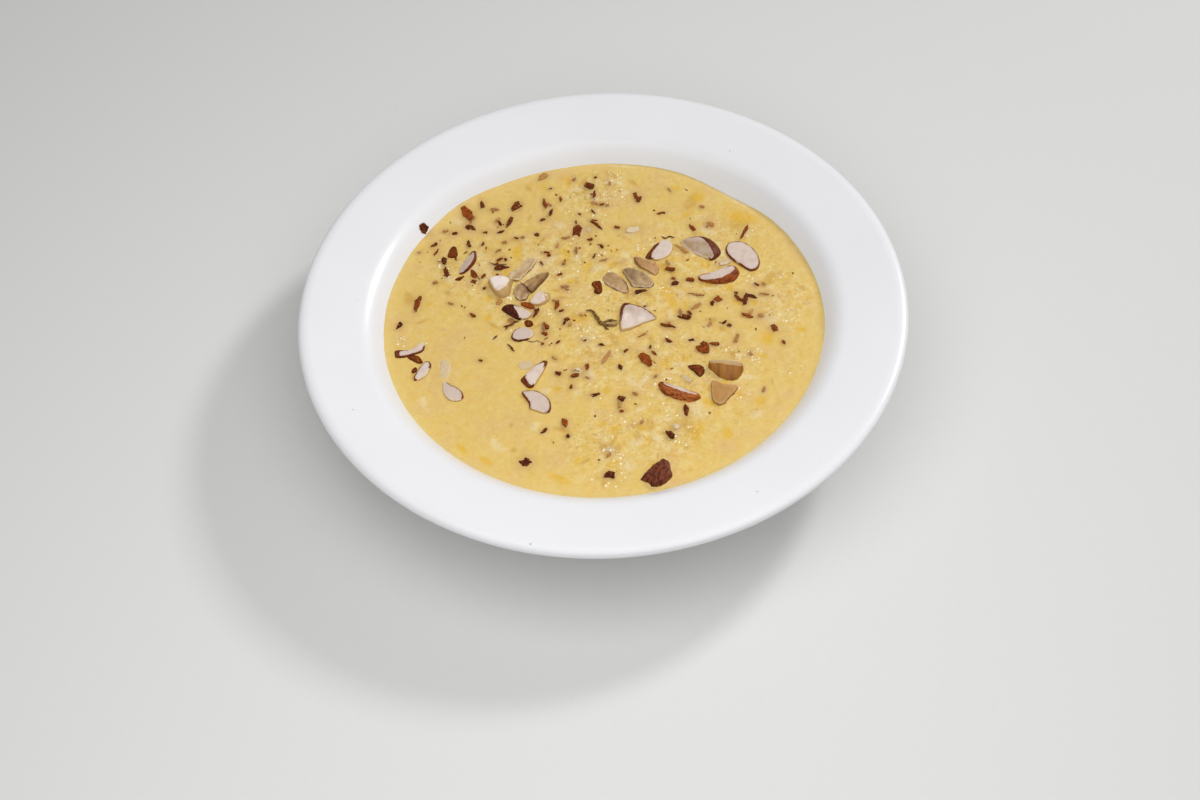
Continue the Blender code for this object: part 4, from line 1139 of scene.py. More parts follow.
def saffron_cream():
    """Thick wet cream with saffron spots, pale lumps, and clusters of wet bubbles with painted glints."""
    made, shader, place = new_material("saffron_cream")
    saffron, pale, rosy, dim, glitter, lumpy, stain = noted(
        made, "saffron", "pale", "rosy", "dim", "glitter", "lumpy", "stain")
    rough = between(made, lumpy, 0.0, 1.0, 0.28, 1.0)
    patches = noise(made, place, PATCH_SIZE)
    blotches = noise(made, place, BLOTCH_SIZE, 2.0, 0.4)
    mottles = noise(made, place, MOTTLE_SIZE, 3.0)

    def torn(spot, low, high, most):
        """A soft spot whose edge is torn by the mottles, times a share."""
        ragged = sums(made, "MULTIPLY_ADD", sums(made, "SUBTRACT", mottles, 0.5), 0.6, spot)
        return between(made, ragged, low, high, 0.0, most)

    def shade(value, low, high, most):
        """A share of a noise, stronger in the lumpy zones."""
        return times(made, between(made, value, low, high, 0.0, most), rough)

    flat = add_node(made, "ShaderNodeVectorMath", {0: place, 1: (1.0, 1.0, 0.0)}, operation="MULTIPLY")
    length = add_node(made, "ShaderNodeVectorMath", {0: flat.outputs[0]}, operation="LENGTH")
    froth = between(made, sums(made, "MULTIPLY_ADD", mottles, 0.3, glitter), 0.3, 0.75)
    crumbs = times(made, dots(made, place, CRUMB_SPACING, 0.2, 0.2), rough)
    # Small dark dots painted among the glints.
    glint_dark_dots = times(made, dots(made, place, GLINT_DARK_DOT_SPACING, 0.34, 0.35), froth)
    tint = layered(
        made, CREAM,
        (between(made, patches, 0.45, 0.72, 0.0, 0.4), CREAM_ROSY),
        (shade(blotches, 0.50, 0.68, 0.75), CREAM_PALE),
        (shade(blotches, 0.46, 0.30, 0.75), CREAM_DEEP),
        (torn(dim, 0.05, 0.9, 0.75), CREAM_DIM),
        (torn(rosy, 0.2, 0.9, 0.75), CREAM_ROSY),
        (torn(pale, 0.1, 0.9, 0.6), STARCH),
        (torn(saffron, 0.0, 0.85, 0.8), SAFFRON),
        (shade(mottles, 0.54, 0.68, 0.65), CREAM_PALE),
        (shade(mottles, 0.45, 0.30, 0.50), CREAM_TAN),
        (between(made, length.outputs["Value"], *THIN_EDGE, 0.0, 0.15), CREAM_PALE),
        (times(made, crumbs, 0.55), CREAM_TAN),
        (times(made, stain, 0.45), CREAM_STAINED),
        (times(made, glint_dark_dots, 0.5), CREAM_TAN),
        # White dots painted into the colour as glints, in the wet bubble clusters.
        (times(made, dots(made, place, PAINTED_GLINT_SPACING, 0.42, 0.25), froth), PAINTED_GLINT))
    hills = relief(made, times(made, blotches, rough), 0.4, 0.6)
    lumps = relief(made, times(made, mottles, rough), 0.5, 0.3, hills)
    pearls = times(made, noise(made, place, DROPLET_SIZE, 1.0), froth)
    feed(made, shader, {
        "Base Color": tint, "Roughness": 0.45, "IOR": 1.36, "Normal": lumps,
        "Subsurface Weight": 0.25, "Subsurface Radius": (1.0, 0.55, 0.2), "Subsurface Scale": 1.0 * MM,
        "Coat Weight": between(made, froth, 0.0, 1.0, 0.2, 0.9), "Coat Roughness": 0.10, "Coat IOR": 1.34,
        "Coat Normal": relief(made, pearls, 0.8, 0.4, lumps)})
    return made


cream, top = shape_cream(saffron_cream())
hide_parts("rice_pudding")
print("cream", triangles(cream), "triangles, highest", round(top[:, 2].max(), 2), "mm")

# %% [markdown]
# Rice grains
#
# Where a grain's top stands over the cream it shows bare. All such grains are one mesh: a
# spindle with blunt ends, laid at each place with a slight bend and tilt of its own. Rice
# boiled in saffron milk is soft, a little clear, and cloudy yellow.

# %% Lay the bare grains on the cream
GRAIN_RINGS = 8
GRAIN_SIDES = 8
GRAIN_BLUNT = 0.8
GRAIN_BARE_TOP = 0.27
GRAIN_THICK = 0.78
GRAIN_PROUD = 0.06
GRAIN_FROM_NUT = 2.5
GRAIN_FROM_WALL = 3.5
GRAIN_BEND = 0.25
GRAIN_TILT = 0.12


def spindle():
    """Places and faces of one grain of half length 1 along X and half width 1."""
    places = [(-1.0, 0.0, 0.0)]
    for i in range(1, GRAIN_RINGS):
        along = -cos(pi * i / GRAIN_RINGS)
        girth = sin(pi * i / GRAIN_RINGS) ** GRAIN_BLUNT
        places += [(along, girth * sin(2 * pi * j / GRAIN_SIDES), girth * cos(2 * pi * j / GRAIN_SIDES))
                   for j in range(GRAIN_SIDES)]
    return np.array(places + [(1.0, 0.0, 0.0)]), capped_faces(GRAIN_RINGS - 1, GRAIN_SIDES)


def bare_grains():
    """The grains whose tops stand over the cream, clear of the nuts and of the wall."""
    centres = np.array([(grain.x, grain.y) for grain in GRAINS])
    clear = clear_of_nuts(centres)
    return [grain for grain, gap in zip(GRAINS, clear) if grain.top > GRAIN_BARE_TOP
            and gap > GRAIN_FROM_NUT and hypot(grain.x, grain.y) < PUDDING_RADIUS - GRAIN_FROM_WALL]


def lay_grains(material):
    """All bare grains in one mesh."""
    shape, pattern = spindle()
    grains = []
    for number, grain in enumerate(bare_grains()):
        draw = random.Random(number)
        thick = grain.wide * GRAIN_THICK / 2
        solid = shape * (grain.long / 2, grain.wide / 2, thick)
        solid[:, 1] += draw.uniform(-GRAIN_BEND, GRAIN_BEND) * (shape[:, 0] ** 2 - 0.5)
        solid[:, 2] += draw.uniform(-GRAIN_TILT, GRAIN_TILT) * shape[:, 0]
        c, s = cos(grain.turn), sin(grain.turn)
        skin = (GRAIN_SHOWS + grain.top) * GRAIN_DRAPE - GRAIN_HOLLOW
        top = level(grain.x, grain.y) + skin + GRAIN_PROUD
        grains.append((np.column_stack((grain.x + solid[:, 0] * c - solid[:, 1] * s,
                                        grain.y + solid[:, 0] * s + solid[:, 1] * c,
                                        top - thick + solid[:, 2])), pattern))
    return add_piece("rice_grains", *joined(grains), material, "saffron_cream"), len(grains)


def boiled_rice():
    """Soft boiled rice, yellow from saffron."""
    made, shader, place = new_material("boiled_saffron_rice")
    cloud = noise(made, place, 2.5)
    feed(made, shader, {
        "Base Color": blend(made, cloud, "#E9CC88", "#DDB04C"), "Roughness": 0.28, "IOR": 1.4,
        "Normal": relief(made, cloud, 0.3, 0.2), "Subsurface Weight": 0.5,
        "Subsurface Radius": (1.0, 0.6, 0.25), "Subsurface Scale": 1.5 * MM,
        "Coat Weight": 0.4, "Coat Roughness": 0.12, "Coat IOR": 1.34})
    return made


rice, rice_count = lay_grains(boiled_rice())
print("bare grains", rice_count, "with", triangles(rice), "triangles")

# %% [markdown]
# Chopped almonds
#
# Rings of points grow from the middle of the face to its edge, then round the edge and down
# the side to the foot, and a last ring roots the piece in the cream. The face has a slight
# crown and the knife's unevenness, and the skin side has ribs. Each point also keeps numbers
# for the material: how deep it lies inside the face's edge, below zero on the side, how much
# skin there is, and a place along which the veins of the skin run.

# %% Cut a piece from its outlines
SINK = 1.5
FOOT_UNDER = 0.1
ROOT_SHARE = 0.9
DEEP = 9.0
RIB_PITCH = 1.6
FACE_SHARES = (0.25, 0.45, 0.62, 0.76, 0.86, 0.93, 0.97, 1.0)
SIDE_SHARES = (0.14, 0.32, 0.52, 0.75, 1.0)
SIDE_BULGE = 0.6
GOLDEN_RIB = 1.9
EDGE_ROUNDING = 0.07

Form = namedtuple("Form", "places faces depths skins course")
Cut = namedtuple("Cut", "crown rough pitch ribs course", defaults=[0.35])
CUTS = {"kernel": Cut(0.16, 0.05, 2.2, 0.05), "skin": Cut(0.22, 0.06, 2.0, 0.09),
        "domed": Cut(0.45, 0.10, 2.6, 0.16), "soaked": Cut(0.22, 0.18, 2.2, 0.06),
        "golden": Cut(0.10, 0.07, 2.4, 0.22, 1.0), "chip": Cut(0.06, 0.08, 1.1, 0.0),
        "pale": Cut(0.05, 0.03, 2.5, 0.0)}


def face_rings(top, cut):
    """Rings of a face from its middle out, and how deep inside the edge their points lie."""
    middle = top[:, :2].mean(axis=0)
    plane = np.linalg.lstsq(np.column_stack((top[:, :2], np.ones(len(top)))), top[:, 2], rcond=None)[0]
    off_plane = top[:, 2] - top[:, :2] @ plane[:2] - plane[2]
    rings, depths = [np.array([[*middle, middle @ plane[:2] + plane[2] + cut.crown]])], [DEEP]
    for share in FACE_SHARES:
        across = middle + (top[:, :2] - middle) * share
        crown = cut.crown * (1 - share ** 2) - EDGE_ROUNDING * share ** 24
        high = across @ plane[:2] + plane[2] + off_plane * share ** 2 + crown
        rings.append(np.column_stack((across, high)))
        depths.append(from_edge(across, top[:, :2]) if share < 1 else np.zeros(len(top)))
    return rings, depths


def side_rings(top, foot, base, cut, seed):
    """Rings from the face's edge down the side to the foot, bulging and ribbed."""
    out = foot - top[:, :2]
    out /= np.linalg.norm(out, axis=1)[:, None] + 1e-6
    ribs = np.abs(unevenness(foot, RIB_PITCH, seed + 9))
    if cut.course == 1:
        ribs = np.sin(foot[:, 0] * pi / GOLDEN_RIB) ** 2
    rib = cut.ribs * ribs[:, None] * out
    rings = []
    for share in SIDE_SHARES:
        across = SIDE_BULGE * sin(share * pi / 2) + (1 - SIDE_BULGE) * share
        down = SIDE_BULGE * (1 - cos(share * pi / 2)) + (1 - SIDE_BULGE) * share
        rings.append(np.column_stack((top[:, :2] + (foot - top[:, :2]) * across + rib * share,
                                      top[:, 2] + (base - top[:, 2]) * down)))
    return rings


def wrap(places, depths, foot, middle, cut):
    """A place on the piece's skin for each point, along which its veins run."""
    around = np.arctan2(places[:, 1] - middle[1], places[:, 0] - middle[0])
    girth = np.linalg.norm(foot - np.roll(foot, 1, axis=0), axis=1).sum() / (2 * pi)
    return np.column_stack((girth * np.cos(around) * cut.course, girth * np.sin(around) * cut.course,
                            depths * (1.3 if cut.course < 1 else 0.12)))


def cut_piece(edge, cut, seed):
    """One cut piece, with its depth inside the face's edge, skin and course at each point."""
    count = len(edge)
    top, foot, skin = edge[:, :3].copy(), edge[:, 3:5], edge[:, 5]
    top[:, 2] += carried(top[:, 0], top[:, 1])
    middle = top[:, :2].mean(axis=0)
    rings, depths = face_rings(top, cut)
    top[:, 2] -= EDGE_ROUNDING
    base = carried(foot[:, 0], foot[:, 1])
    sides = side_rings(top, foot, base - FOOT_UNDER, cut, seed)
    depths += [-np.linalg.norm(ring - top, axis=1) for ring in sides]
    root = np.column_stack((middle + (foot - middle) * ROOT_SHARE, base - SINK))
    rings += sides + [root, np.array([[*middle, root[:, 2].mean()]])]
    depths = np.hstack(depths + [np.full(count + 1, -DEEP)])
    places = np.vstack(rings)
    rough = np.column_stack([unevenness(places, cut.pitch, seed + i) for i in range(3)])
    places[:-count - 1] += cut.rough * rough[:-count - 1] * (0.5, 0.5, 1.0)
    skins = np.hstack([skin.mean(), np.tile(skin, len(rings) - 2), 1.0])
    return Form(places, capped_faces(len(rings) - 2, count), depths, skins,
                wrap(places, depths, foot, middle, cut))


print("kinds of cut", sorted(CUTS))

# %% [markdown]
# Almond: skin and kernel in one material
#
# An almond's skin is a thin papery coat, dark red-brown, with fine lengthwise veins. The
# kernel is dense and ivory white, slightly rosy where the cream has softened it. One
# material does both, told apart by the numbers kept above: on a face the skin is a rim a
# third of a millimetre wide, and on the side it covers what the knife left. The same recipe
# with other colours makes the soaked flakes and the golden pieces.

# %% Make the nut materials
SKIN_THICKNESS = 0.34
VEIN_PITCH = 0.8
Nut = namedtuple("Nut", "name skin vein flesh soaked blush side jelly roughness coat clear")
ALMOND = Nut("almond", "#84401A", "#4E1E0A", "#F4E4DA", "#C4AC99", "#CEB5A7", "#C09A5E", "#DDC7A8",
             0.45, 0.15, 0.2)


def nut_material(nut):
    """Skin over flesh, told apart by the depth inside the cut face's edge."""
    made, shader, place = new_material(nut.name)
    depth, skin, tone = noted(made, "depth", "skin", "tone")
    flecks = noise(made, place, 1.2, 3.0)
    waver = between(made, flecks, 0.3, 0.7, -0.14, 0.14, smooth=False)
    torn = sums(made, "ADD", depth, waver)
    has_skin = between(made, sums(made, "ADD", skin, waver), 0.28, 0.55)
    bare = sums(made, "SUBTRACT", 1.0, has_skin)
    rim = between(made, torn, SKIN_THICKNESS + 0.06, SKIN_THICKNESS - 0.12)
    skinned = times(made, rim, has_skin)
    bruised = times(made, between(made, torn, 1.3, 0.2, 0.0, 0.75), has_skin)
    # Along bare edges the flesh turns to the jelly colour: a soaked rim on almonds, and on soaked pieces a
    # paler rim of painted highlight.
    soaked_rim_and_highlight = times(made, between(made, torn, 0.75, 0.1, 0.0, 0.75), bare)
    clouded = between(made, noise(made, place, 2.6, 3.0), 0.46, 0.70, 0.0, 0.5)
    course = add_node(made, "ShaderNodeAttribute", attribute_name="course").outputs["Vector"]
    veins = noise(made, course, VEIN_PITCH, 2.0, 0.3)
    bark = blend(made, between(made, veins, 0.60, 0.36), nut.skin, nut.vein)
    flesh = layered(made, nut.flesh, (tone, nut.soaked), (clouded, nut.blush), (bruised, nut.blush),
                    (soaked_rim_and_highlight, nut.jelly), (between(made, torn, -0.05, -0.35), nut.side))
    grit = relief(made, flecks, 0.35, 0.2)
    ribbed = relief(made, veins, 0.7, 0.3)
    surface = add_node(made, "ShaderNodeMix", {0: skinned, 4: grit, 5: ribbed}, data_type="VECTOR")
    feed(made, shader, {
        "Base Color": blend(made, skinned, flesh, bark), "Roughness": nut.roughness, "IOR": 1.46,
        "Specular IOR Level": between(made, skinned, 0.0, 1.0, 0.5, 0.22, smooth=False),
        "Normal": surface.outputs[1],
        "Subsurface Weight": nut.clear, "Subsurface Radius": (1.0, 0.7, 0.5), "Subsurface Scale": 1.0 * MM,
        "Coat Weight": between(made, skinned, 0.0, 1.0, nut.coat, 0.0, smooth=False),
        "Coat Roughness": 0.12, "Coat Normal": grit})
    return made


def soaked(name, tone, dark, pale, skin="#7A5834"):
    """A nut so soaked that it is clear as jelly, with a wet shine and a pale rim along its bare edge that is
    painted highlight.
    """
    return Nut(name, skin, dark, pale, tone, dark, dark, pale, 0.3, 0.6, 0.5)


almond = nut_material(ALMOND)
print("almond material with", len(almond.node_tree.nodes), "nodes")

# %% [markdown]
# The nut pieces, in place
#
# No two pieces have soaked alike. Some have a look of their own, and each has a share of
# soaking from 0 to 1. Pieces that lie half in the cream fade towards one end, so a direction
# (across, away) says which end stays paler. The veins of a domed piece and the grain of the
# golden ones run straight, stretched by a share along each axis. Each piece takes the place
# of its own solid.

# %% Place the nut pieces
NUT_LOOKS = {
    "almond_sliver": ALMOND._replace(name="almond_light_skin", skin="#BA682A", vein="#743812"),
    "almond_crescent": ALMOND._replace(name="almond_warm_skin", skin="#A05222", vein="#662A10"),
    "almond_thick_back": ALMOND._replace(name="almond_soaked_end", soaked="#B2936C", skin="#743616"),
    "almond_skin_up": ALMOND._replace(name="almond_red_skin", skin="#7E3C24", vein="#4E2010"),
    "almond_dark_middle": ALMOND._replace(name="almond_dark_skin", skin="#64280E", vein="#2C0E04"),
    "soaked_flake_tan": soaked("soaked_kernel_tan", "#B98A54", "#A0723F", "#CFA472"),
    "soaked_flake_wide": soaked("soaked_kernel_grey", "#84623A", "#785A34", "#D0B084"),
    "soaked_flake_small": soaked("soaked_kernel_grey_small", "#B18B58", "#98744A", "#D2AE82"),
    "curled_flake": soaked("soaked_kernel_pale", "#B48658", "#987042", "#E2CCA0"),
    "leaf_flake": soaked("soaked_husk_leaf", "#9C733C", "#7A5630", "#C49D66"),
    "folded_flake": soaked("soaked_husk_fold", "#A07650", "#80603E", "#D3B384"),
    "golden_nut_ribbed": Nut("golden_nut_ribbed", "#A8702E", "#8E5A24", "#CDAE82", "#BE9560", "#B8945E",
                             "#98622A", "#C8AA82", 0.4, 0.12, 0.2),
    "golden_nut_flat": Nut("golden_nut_flat", "#9A6A34", "#7E5024", "#CB9C60", "#B5803F", "#B07E42",
                           "#9C6C34", "#C89C62", 0.36, 0.4, 0.3),
}
SLOTS = {"kernel": "almond_kernel", "skin": "almond_skin", "domed": "almond_skin", "soaked": "soaked_nut",
         "golden": "golden_nut"}
SOAKED_SHARES = {"almond_white_chunk": 0.0, "almond_small_middle": 0.4, "almond_thick_back": 0.9,
                 "almond_slanted_back": 1.0, "almond_wedge": 0.5, "almond_pointed": 0.4,
                 "almond_end_back": 0.5, "almond_crescent": 0.5, "almond_dark_middle": 0.65,
                 "almond_oval_middle": 0.7, "almond_left": 0.65, "almond_teardrop": 0.6}
PALE_ENDS = {"soaked_flake_wide": (0.9, -0.4), "soaked_flake_small": (0.8, -0.6),
             "soaked_flake_tan": (0.8, -0.6), "curled_flake": (-0.7, 0.7),
             "leaf_flake": (-0.7, -0.7), "folded_flake": (-1.0, 0.1),
             "almond_thick_back": (0.8, 0.3), "golden_nut_flat": (0.8, 0.3), "almond_wedge": (-0.4, -0.9)}
STRAIGHT_COURSES = {"domed": (1.0, 0.5, 0.2), "golden": (0.45, 0.05, 0.05)}
HALF_SOAKED = 0.5
END_FADE = 0.5
END_CLOUD = 0.18
CLOUD_PITCH = 4.0
NUT_SEED = 271
SEED_STEP = 7


def fade(piece, places, tone, seed):
    """How soaked each point is, fading towards the pale end where there is one."""
    if piece.name in PALE_ENDS:
        run = (places[:, :2] - places[:, :2].mean(axis=0)) @ np.array(PALE_ENDS[piece.name])
        cloud = END_CLOUD * unevenness(places, CLOUD_PITCH, seed)
        tone = tone - END_FADE * run / np.abs(run).max() + cloud
    return np.clip(tone + np.zeros(len(places)), 0.0, 1.0)


def add_cut(piece, material, seed):
    """One piece of nut, placed as its solid is."""
    form = cut_piece(EDGES[piece.name], CUTS[piece.look], seed)
    depths, course = form.depths, form.course
    if piece.look in STRAIGHT_COURSES:
        course = form.places * STRAIGHT_COURSES[piece.look]
    if piece.look == "domed":
        depths = np.full(len(form.places), -1.0)
    made = add_piece(piece.name + "_piece", form.places, form.faces, material, SLOTS[piece.look])
    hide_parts(piece.name)
    note(made, "depth", depths)
    note(made, "skin", form.skins)
    note(made, "tone", fade(piece, form.places, SOAKED_SHARES.get(piece.name, HALF_SOAKED), seed))
    note(made, "course", course * MM)
    return made


nut_triangles = 0
for number, piece in enumerate(PIECES):
    finish = nut_material(NUT_LOOKS[piece.name]) if piece.name in NUT_LOOKS else almond
    nut_triangles += triangles(add_cut(piece, finish, NUT_SEED + SEED_STEP * number))
print("nut pieces", len(PIECES), "with", nut_triangles, "triangles")

# %% [markdown]
# The strip of cardamom husk
#
# Beside the wedge of almond lies a dark strip of green cardamom husk, bent like a hook, with
# a second strip and a shred of leaf between the two. Each is a row: width, thickness, height
# over the cream, and the pixels of its path in the photograph. A ribbon follows the path with
# a rounded section that thins to both ends. Threads of almond skin are made the same way, and
# so are two dark threads of painted shadow along the soaked flakes.

# %% Bend the husk and the threads
Strip = namedtuple("Strip", "wide high rise corners")
HUSK = [Strip(*row) for row in (
    (1.45, 0.9, 0.45, ((586, 310.5), (590, 310), (593.5, 312), (596, 316), (598.5, 320), (601, 323.5),
                       (606, 325), (612, 325.5), (617, 325.5))),
    (1.0, 0.7, 0.5, ((599.5, 323), (603.5, 322.5), (608, 320.5), (613, 320), (617, 321))),
)]
HUSK_LEAF = [Strip(1.9, 0.3, 0.3, ((601, 324), (607, 323.5), (612.5, 323.5), (618, 324)))]
SKIN_AND_SHADOW_THREADS = [Strip(*row) for row in (
    (0.35, 0.3, 0.1, ((527, 340.5), (532, 342), (537, 341), (542, 342.5))),
    (0.7, 0.4, 0.2, ((507, 343.5), (511, 346.5), (513, 350), (515, 351))),
    (0.5, 0.4, 0.2, ((493, 339), (495.5, 337), (497.5, 335))),
    # These two threads are dark lines of painted shadow: in the gap between two soaked flakes, and along the
    # leaf flake's lower right edge.
    (0.5, 0.4, 0.9, ((519, 282), (524, 284.5), (527, 287.5), (529.5, 291.5))),
    (0.5, 0.4, 0.5, ((530, 294), (535, 288), (540, 281.5))),
    (0.8, 0.5, 0.4, ((505, 329.5), (509, 325.5), (514, 322.5), (519, 320.5))),
    (0.7, 0.4, 0.3, ((489, 262.5), (495, 264.5), (500, 265), (507, 264))),
    (0.5, 0.4, 0.2, ((443, 276), (447, 274.5), (451, 275))),
    (0.5, 0.4, 0.2, ((470, 271), (474, 272), (477, 276), (480, 280))),
    (0.8, 0.5, 0.3, ((603, 325.5), (606, 328), (609, 329.5))),
    (0.7, 0.4, 0.3, ((661, 236.5), (665, 238), (671, 236.5), (675, 238))),
)]
STRIP_STEPS = 22
STRIP_SIDES = 8
STRIP_END_SHARE = 0.3
STRIP_STRAY = 0.12
STRIP_STRAY_PITCH = 2.2
STRIP_SWELL = 0.25
STRIP_SWELL_PITCH = 1.7
STRIP_SEED = 70
STRIP_TONE = 0.3


def bend_strip(strip, seed):
    """Places and faces of a closed strip with a rounded section, along its path on the cream."""
    corners = [on_cream(px, py, strip.rise) for px, py in strip.corners]
    at = np.linspace(0, len(corners) - 1, STRIP_STEPS)
    path = np.column_stack([np.interp(at, range(len(corners)), side) for side in zip(*corners)])
    stray = [unevenness(path, STRIP_STRAY_PITCH, seed + i) for i in range(2)]
    path += STRIP_STRAY * np.column_stack(stray)
    run = np.gradient(path, axis=0)
    run /= np.linalg.norm(run, axis=1)[:, None]
    full = np.sin(pi * (np.arange(STRIP_STEPS) + 0.5) / STRIP_STEPS)
    share = STRIP_END_SHARE + (1 - STRIP_END_SHARE) * full
    swell = 1 + STRIP_SWELL * unevenness(path, STRIP_SWELL_PITCH, seed + 5)
    wide = strip.wide / 2 * share * swell
    rings = []
    for j in range(STRIP_SIDES):
        turn = 2 * pi * j / STRIP_SIDES
        across = path + np.column_stack((-run[:, 1], run[:, 0])) * (wide * cos(turn))[:, None]
        high = level(path[:, 0], path[:, 1]) + strip.rise + strip.high * share * sin(turn) / 2
        rings.append(np.column_stack((across, high)))
    places = np.stack(rings, axis=1).reshape(-1, 3)
    last = len(places) - 1
    ends = [tuple(range(STRIP_SIDES)), tuple(range(last, last - STRIP_SIDES, -1))]
    return places, ring_faces(STRIP_STEPS, STRIP_SIDES) + ends


def join_strips(name, strips, material, slot, node):
    """Strips of one kind in one mesh, in place of a node."""
    forms = [bend_strip(strip, STRIP_SEED + number) for number, strip in enumerate(strips)]
    made = add_piece(name, *joined(forms), material, slot)
    note(made, "tone", np.full(len(made.data.vertices), STRIP_TONE))
    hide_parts(node)
    return made


def fibrous(name, dark, light):
    """Dry plant skin, darker along its fibres."""
    made, shader, place = new_material(name)
    fibres = noise(made, place, 1.1, 3.0)
    feed(made, shader, {
        "Base Color": blend(made, between(made, fibres, 0.3, 0.7), dark, light), "Roughness": 0.55,
        "Specular IOR Level": 0.2, "Normal": relief(made, fibres, 0.6, 0.2)})
    return made


husk = [
    join_strips("cardamom_husk_strip", HUSK, fibrous("dried_cardamom_husk", "#4C3212", "#987236"),
                "cardamom_husk", "cardamom_husk"),
    join_strips("cardamom_husk_leaf", HUSK_LEAF, fibrous("soaked_cardamom_husk", "#927446", "#C2A06C"),
                "cardamom_husk", "cardamom_husk"),
    join_strips("skin_threads", SKIN_AND_SHADOW_THREADS, fibrous("almond_skin_thread", "#3E1A08", "#7A4420"),
                "almond_skin", "rice_pudding"),
]
print("strips in triangles", [triangles(piece) for piece in husk])

# %% [markdown]
# Flakes and specks
#
# Each flake is a thin chip with a torn outline that lies in the cream with its top up to half
# a millimetre proud. It is cut by the same rule as the nuts, from a ragged outline of its
# own. Specks, the dust of chopping, are the same at a third of the size. Chips of one kind
# are joined to one piece, and each chip keeps a tone of its own for the material to read.
# Torn skin is thin at its edge and mottled inside, so no two chips look alike.

# %% Tear the flakes
FLAKE_CORNERS = 6
FLAKE_SHARE = 1.04
FLAKE_LARGE = 4
FLAKE_FOOT = 0.93
FLAKE_LOWEST = 0.15
TORN = (0.55, 1.3)
CORNER_STRAY = (-0.25, 0.25)
CURL = (-0.2, 0.4)
TILT = (-0.12, 0.12)
CHUNK_TONE = 0.4
RAGGED = 0.1
RAGGED_PITCH = 0.9


def torn_outline(flake, top, draw):
    """Rows for a chip: an uneven outline with a curl, and its foot a little inside."""
    turn = radians(flake.turn)
    curl, tilt = draw.uniform(*CURL), draw.uniform(*TILT)
    corners = FLAKE_CORNERS if flake.long < FLAKE_LARGE else FLAKE_CORNERS + 2
    rows = []
    for i in range(corners):
        share = FLAKE_SHARE * draw.uniform(*TORN)
        around = 2 * pi * (i + draw.uniform(*CORNER_STRAY)) / corners
        along = flake.long / 2 * cos(around) * share
        aside = flake.wide / 2 * sin(around) * share
        lift = curl * min(flake.long / FLAKE_LARGE, 1)
        high = top + lift * (2 * along / flake.long) ** 2 + tilt * along
        corner = [(flake.x + share * (along * cos(turn) - aside * sin(turn)),
                   flake.y + share * (along * sin(turn) + aside * cos(turn)))
                  for share in (1.0, FLAKE_FOOT)]
        rows.append((*corner[0], max(high, FLAKE_LOWEST), *corner[1], 1.0))
    return rows


def join_cuts(name, cuts, material, slot):
    """Join cut pieces, each with a look, an edge, a seed and a tone, to one mesh."""
    forms = [cut_piece(edge, CUTS[look], seed) for look, edge, seed, tone in cuts]
    tones = [np.full(len(form.places), cut[3]) for form, cut in zip(forms, cuts)]
    made = add_piece(name, *joined([form[:2] for form in forms]), material, slot)
    note(made, "depth", np.hstack([form.depths for form in forms]))
    note(made, "tone", np.hstack(tones))
    return made


def chips(flakes, top, around):
    """A look, an edge, a seed and a tone for each flake. The seed comes from its place."""
    made = []
    for flake in flakes:
        seed = int(abs(flake.x * 53 + flake.y * 97))
        draw = random.Random(seed)
        tone = draw.random()
        edge = closed_curve(torn_outline(flake, draw.uniform(*top), draw), around, False)
        stray = [RAGGED * unevenness(edge[:, :2], RAGGED_PITCH, seed + i) for i in range(2)]
        edge[:, :2] += np.column_stack(stray)
        edge[:, 3:5] += np.column_stack(stray)
        made.append(("chip", edge, seed, tone))
    return made


def whole(piece):
    """A look, an edge, a seed and a tone for a chunk that has corners of its own."""
    return piece.look, closed_curve(in_millimetres(piece.corners), AROUND), len(piece.name), CHUNK_TONE


print("chips to lay", len(ALL_FLAKES), "chunks", len(CHUNKS) + len(PALE_CHUNKS))

# %% [markdown]
# The chips, in place
#
# Chips are thin enough for the light to reach a little way in. Each kind has three colours: a
# dark one, the chip's own, and a lighter one. Dark and light lie in random mottles, the light
# mottles standing partly for painted highlights, and the dark one also darkens each chip's rim
# and sides as painted shade.
# The large chips, the chunks and the dust all lie on the pudding, so they are dressed with it.

# %% Lay the chips on the cream
FLAKE_TOP = (0.25, 0.6)
KERNEL_TOP = (0.15, 0.3)
SPECK_TOP = (0.08, 0.2)
FLAKE_AROUND = 28
SPECK_AROUND = 10
SPECKS = 110
SPECK_LENGTH = (0.5, 1.7)
SPECK_WIDTH = (0.3, 0.9)


def chip_material(name, dark, middle, light, roughness, coat, clear, shine):
    """Thin torn flakes, each with its own tone, with painted shade at the edge and mottles over a
    millimetre, the light ones partly painted highlight.
    """
    made, shader, place = new_material(name)
    tone, depth = noted(made, "tone", "depth")
    mottle = noise(made, place, 0.8, 3.0)
    # The light mottles are partly painted highlight, and the darkening at the rim and down the sides is
    # painted shade.
    tint = layered(made, dark, (tone, middle), (between(made, mottle, 0.50, 0.70, 0.0, 0.55), light),
                   (between(made, mottle, 0.48, 0.34, 0.0, 0.6), dark),
                   (between(made, depth, 0.3, 0.0, 0.0, 0.4), dark))
    crease = relief(made, mottle, 0.5, 0.25)
    feed(made, shader, {
        "Base Color": tint, "Roughness": roughness, "IOR": 1.46, "Specular IOR Level": shine,
        "Normal": crease, "Subsurface Weight": clear, "Subsurface Radius": (1.0, 0.6, 0.4),
        "Subsurface Scale": 0.8 * MM, "Coat Weight": coat, "Coat Roughness": 0.15, "Coat Normal": crease})
    return made


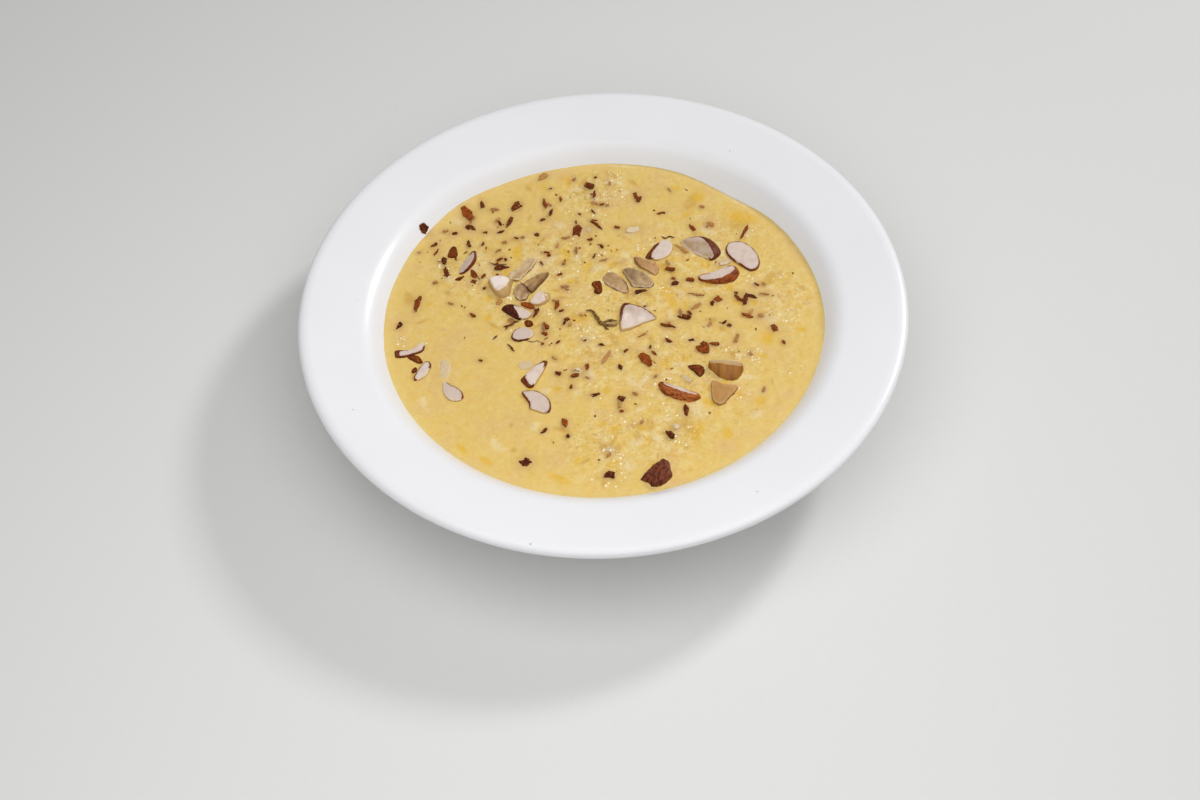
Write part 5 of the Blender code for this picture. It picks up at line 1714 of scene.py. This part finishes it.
skin_chips = chip_material("almond_skin_flake", "#451603", "#96460F", "#BC6A20", 0.55, 0.0, 0.0, 0.15)
tan_chips = chip_material("tan_husk_flake", "#A06A36", "#C48E4C", "#D2A464", 0.4, 0.2, 0.2, 0.3)
pale_chips = chip_material("pale_kernel_flake", "#D2B98E", "#E2CDAA", "#E9D8BC", 0.35, 0.3, 0.4, 0.5)
speck_dust = chip_material("nut_dust", "#70380A", "#A8702A", "#BC8A44", 0.6, 0.0, 0.0, 0.15)
specks = off_nuts(strew(31, SPECKS, FLAKE_ZONES + 2 * ANYWHERE, SPECK_LENGTH, SPECK_WIDTH))
laid = [
    join_cuts("skin_flakes", chips(SKIN_FLAKES, FLAKE_TOP, FLAKE_AROUND), skin_chips, "almond_skin"),
    join_cuts("skin_chunks", [whole(chunk) for chunk in CHUNKS], skin_chips, "almond_skin"),
    join_cuts("tan_flakes", chips(TAN_FLAKES, FLAKE_TOP, FLAKE_AROUND), tan_chips, "soaked_nut"),
    join_cuts("pale_flakes", chips(PALE_FLAKES, KERNEL_TOP, FLAKE_AROUND)
              + [whole(chunk) for chunk in PALE_CHUNKS], pale_chips, "almond_kernel"),
    join_cuts("nut_specks", chips(specks, SPECK_TOP, SPECK_AROUND), speck_dust, "almond_skin"),
]
for kind in laid:
    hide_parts("rice_pudding")
print("specks", len(specks), "chips in triangles", [triangles(kind) for kind in laid])

# %% [markdown]
# Floor and light
#
# The bowl stands on a plain pale floor. The main lamp stands behind and to the right, some 40
# degrees up, as in the photograph: it lays the bowl's shadow to the front left, brightens the
# front of the rim, which slopes towards it, and leaves the right wall of the well in soft
# shade. A large soft lamp hangs above the bowl, and an even sky fills the shadows.

# %% Set the floor and the lamps
FLOOR_SIZE = 6000.0
FLOOR_PAPER = "#E3E3E1"
FLOOR_FIBRE = "#E0E0DE"
PAPER_TOOTH = 1.5
SKY = "#FFFFFF"
SKY_STRENGTH = 0.28
KEY_PLACE = (944.0, 724.0, 913.0)
KEY_SIZE = 230.0
KEY_POWER = 8.9
OVERHEAD_PLACE = (-30.0, -205.0, 440.0)
OVERHEAD_SIZE = 600.0
OVERHEAD_POWER = 1.64


def lay_floor():
    """A plain sheet of pale paper, large enough to fill every view."""
    half = FLOOR_SIZE / 2
    corners = [(-half, -half, 0.0), (half, -half, 0.0), (half, half, 0.0), (-half, half, 0.0)]
    mesh = bpy.data.meshes.new("floor")
    mesh.from_pydata([Vector(corner) * MM for corner in corners], [], [(0, 1, 2, 3)])
    made, shader, place = new_material("pale_paper")
    tooth = noise(made, place, PAPER_TOOTH)
    feed(made, shader, {
        "Base Color": blend(made, tooth, FLOOR_PAPER, FLOOR_FIBRE), "Roughness": 0.8,
        "Normal": relief(made, tooth, 0.15, 0.1)})
    mesh.materials.append(made)
    add_object("floor", mesh)


def hang_lamp(name, place, size, power):
    """A square soft lamp that faces the middle of the bowl."""
    data = bpy.data.lights.new(name, "AREA")
    data.size = size * MM
    data.energy = power
    made = add_object(name, data)
    made.location = Vector(place) * MM
    made.rotation_euler = Vector(place).to_track_quat("Z", "Y").to_euler()


def light_sky():
    """An even pale light from all round."""
    world = bpy.data.worlds.new("sky")
    world.use_nodes = True
    sky = world.node_tree.nodes["Background"]
    sky.inputs["Color"].default_value = linear(SKY)
    sky.inputs["Strength"].default_value = SKY_STRENGTH
    bpy.context.scene.world = world


lay_floor()
hang_lamp("key_lamp", KEY_PLACE, KEY_SIZE, KEY_POWER)
hang_lamp("overhead_lamp", OVERHEAD_PLACE, OVERHEAD_SIZE, OVERHEAD_POWER)
light_sky()
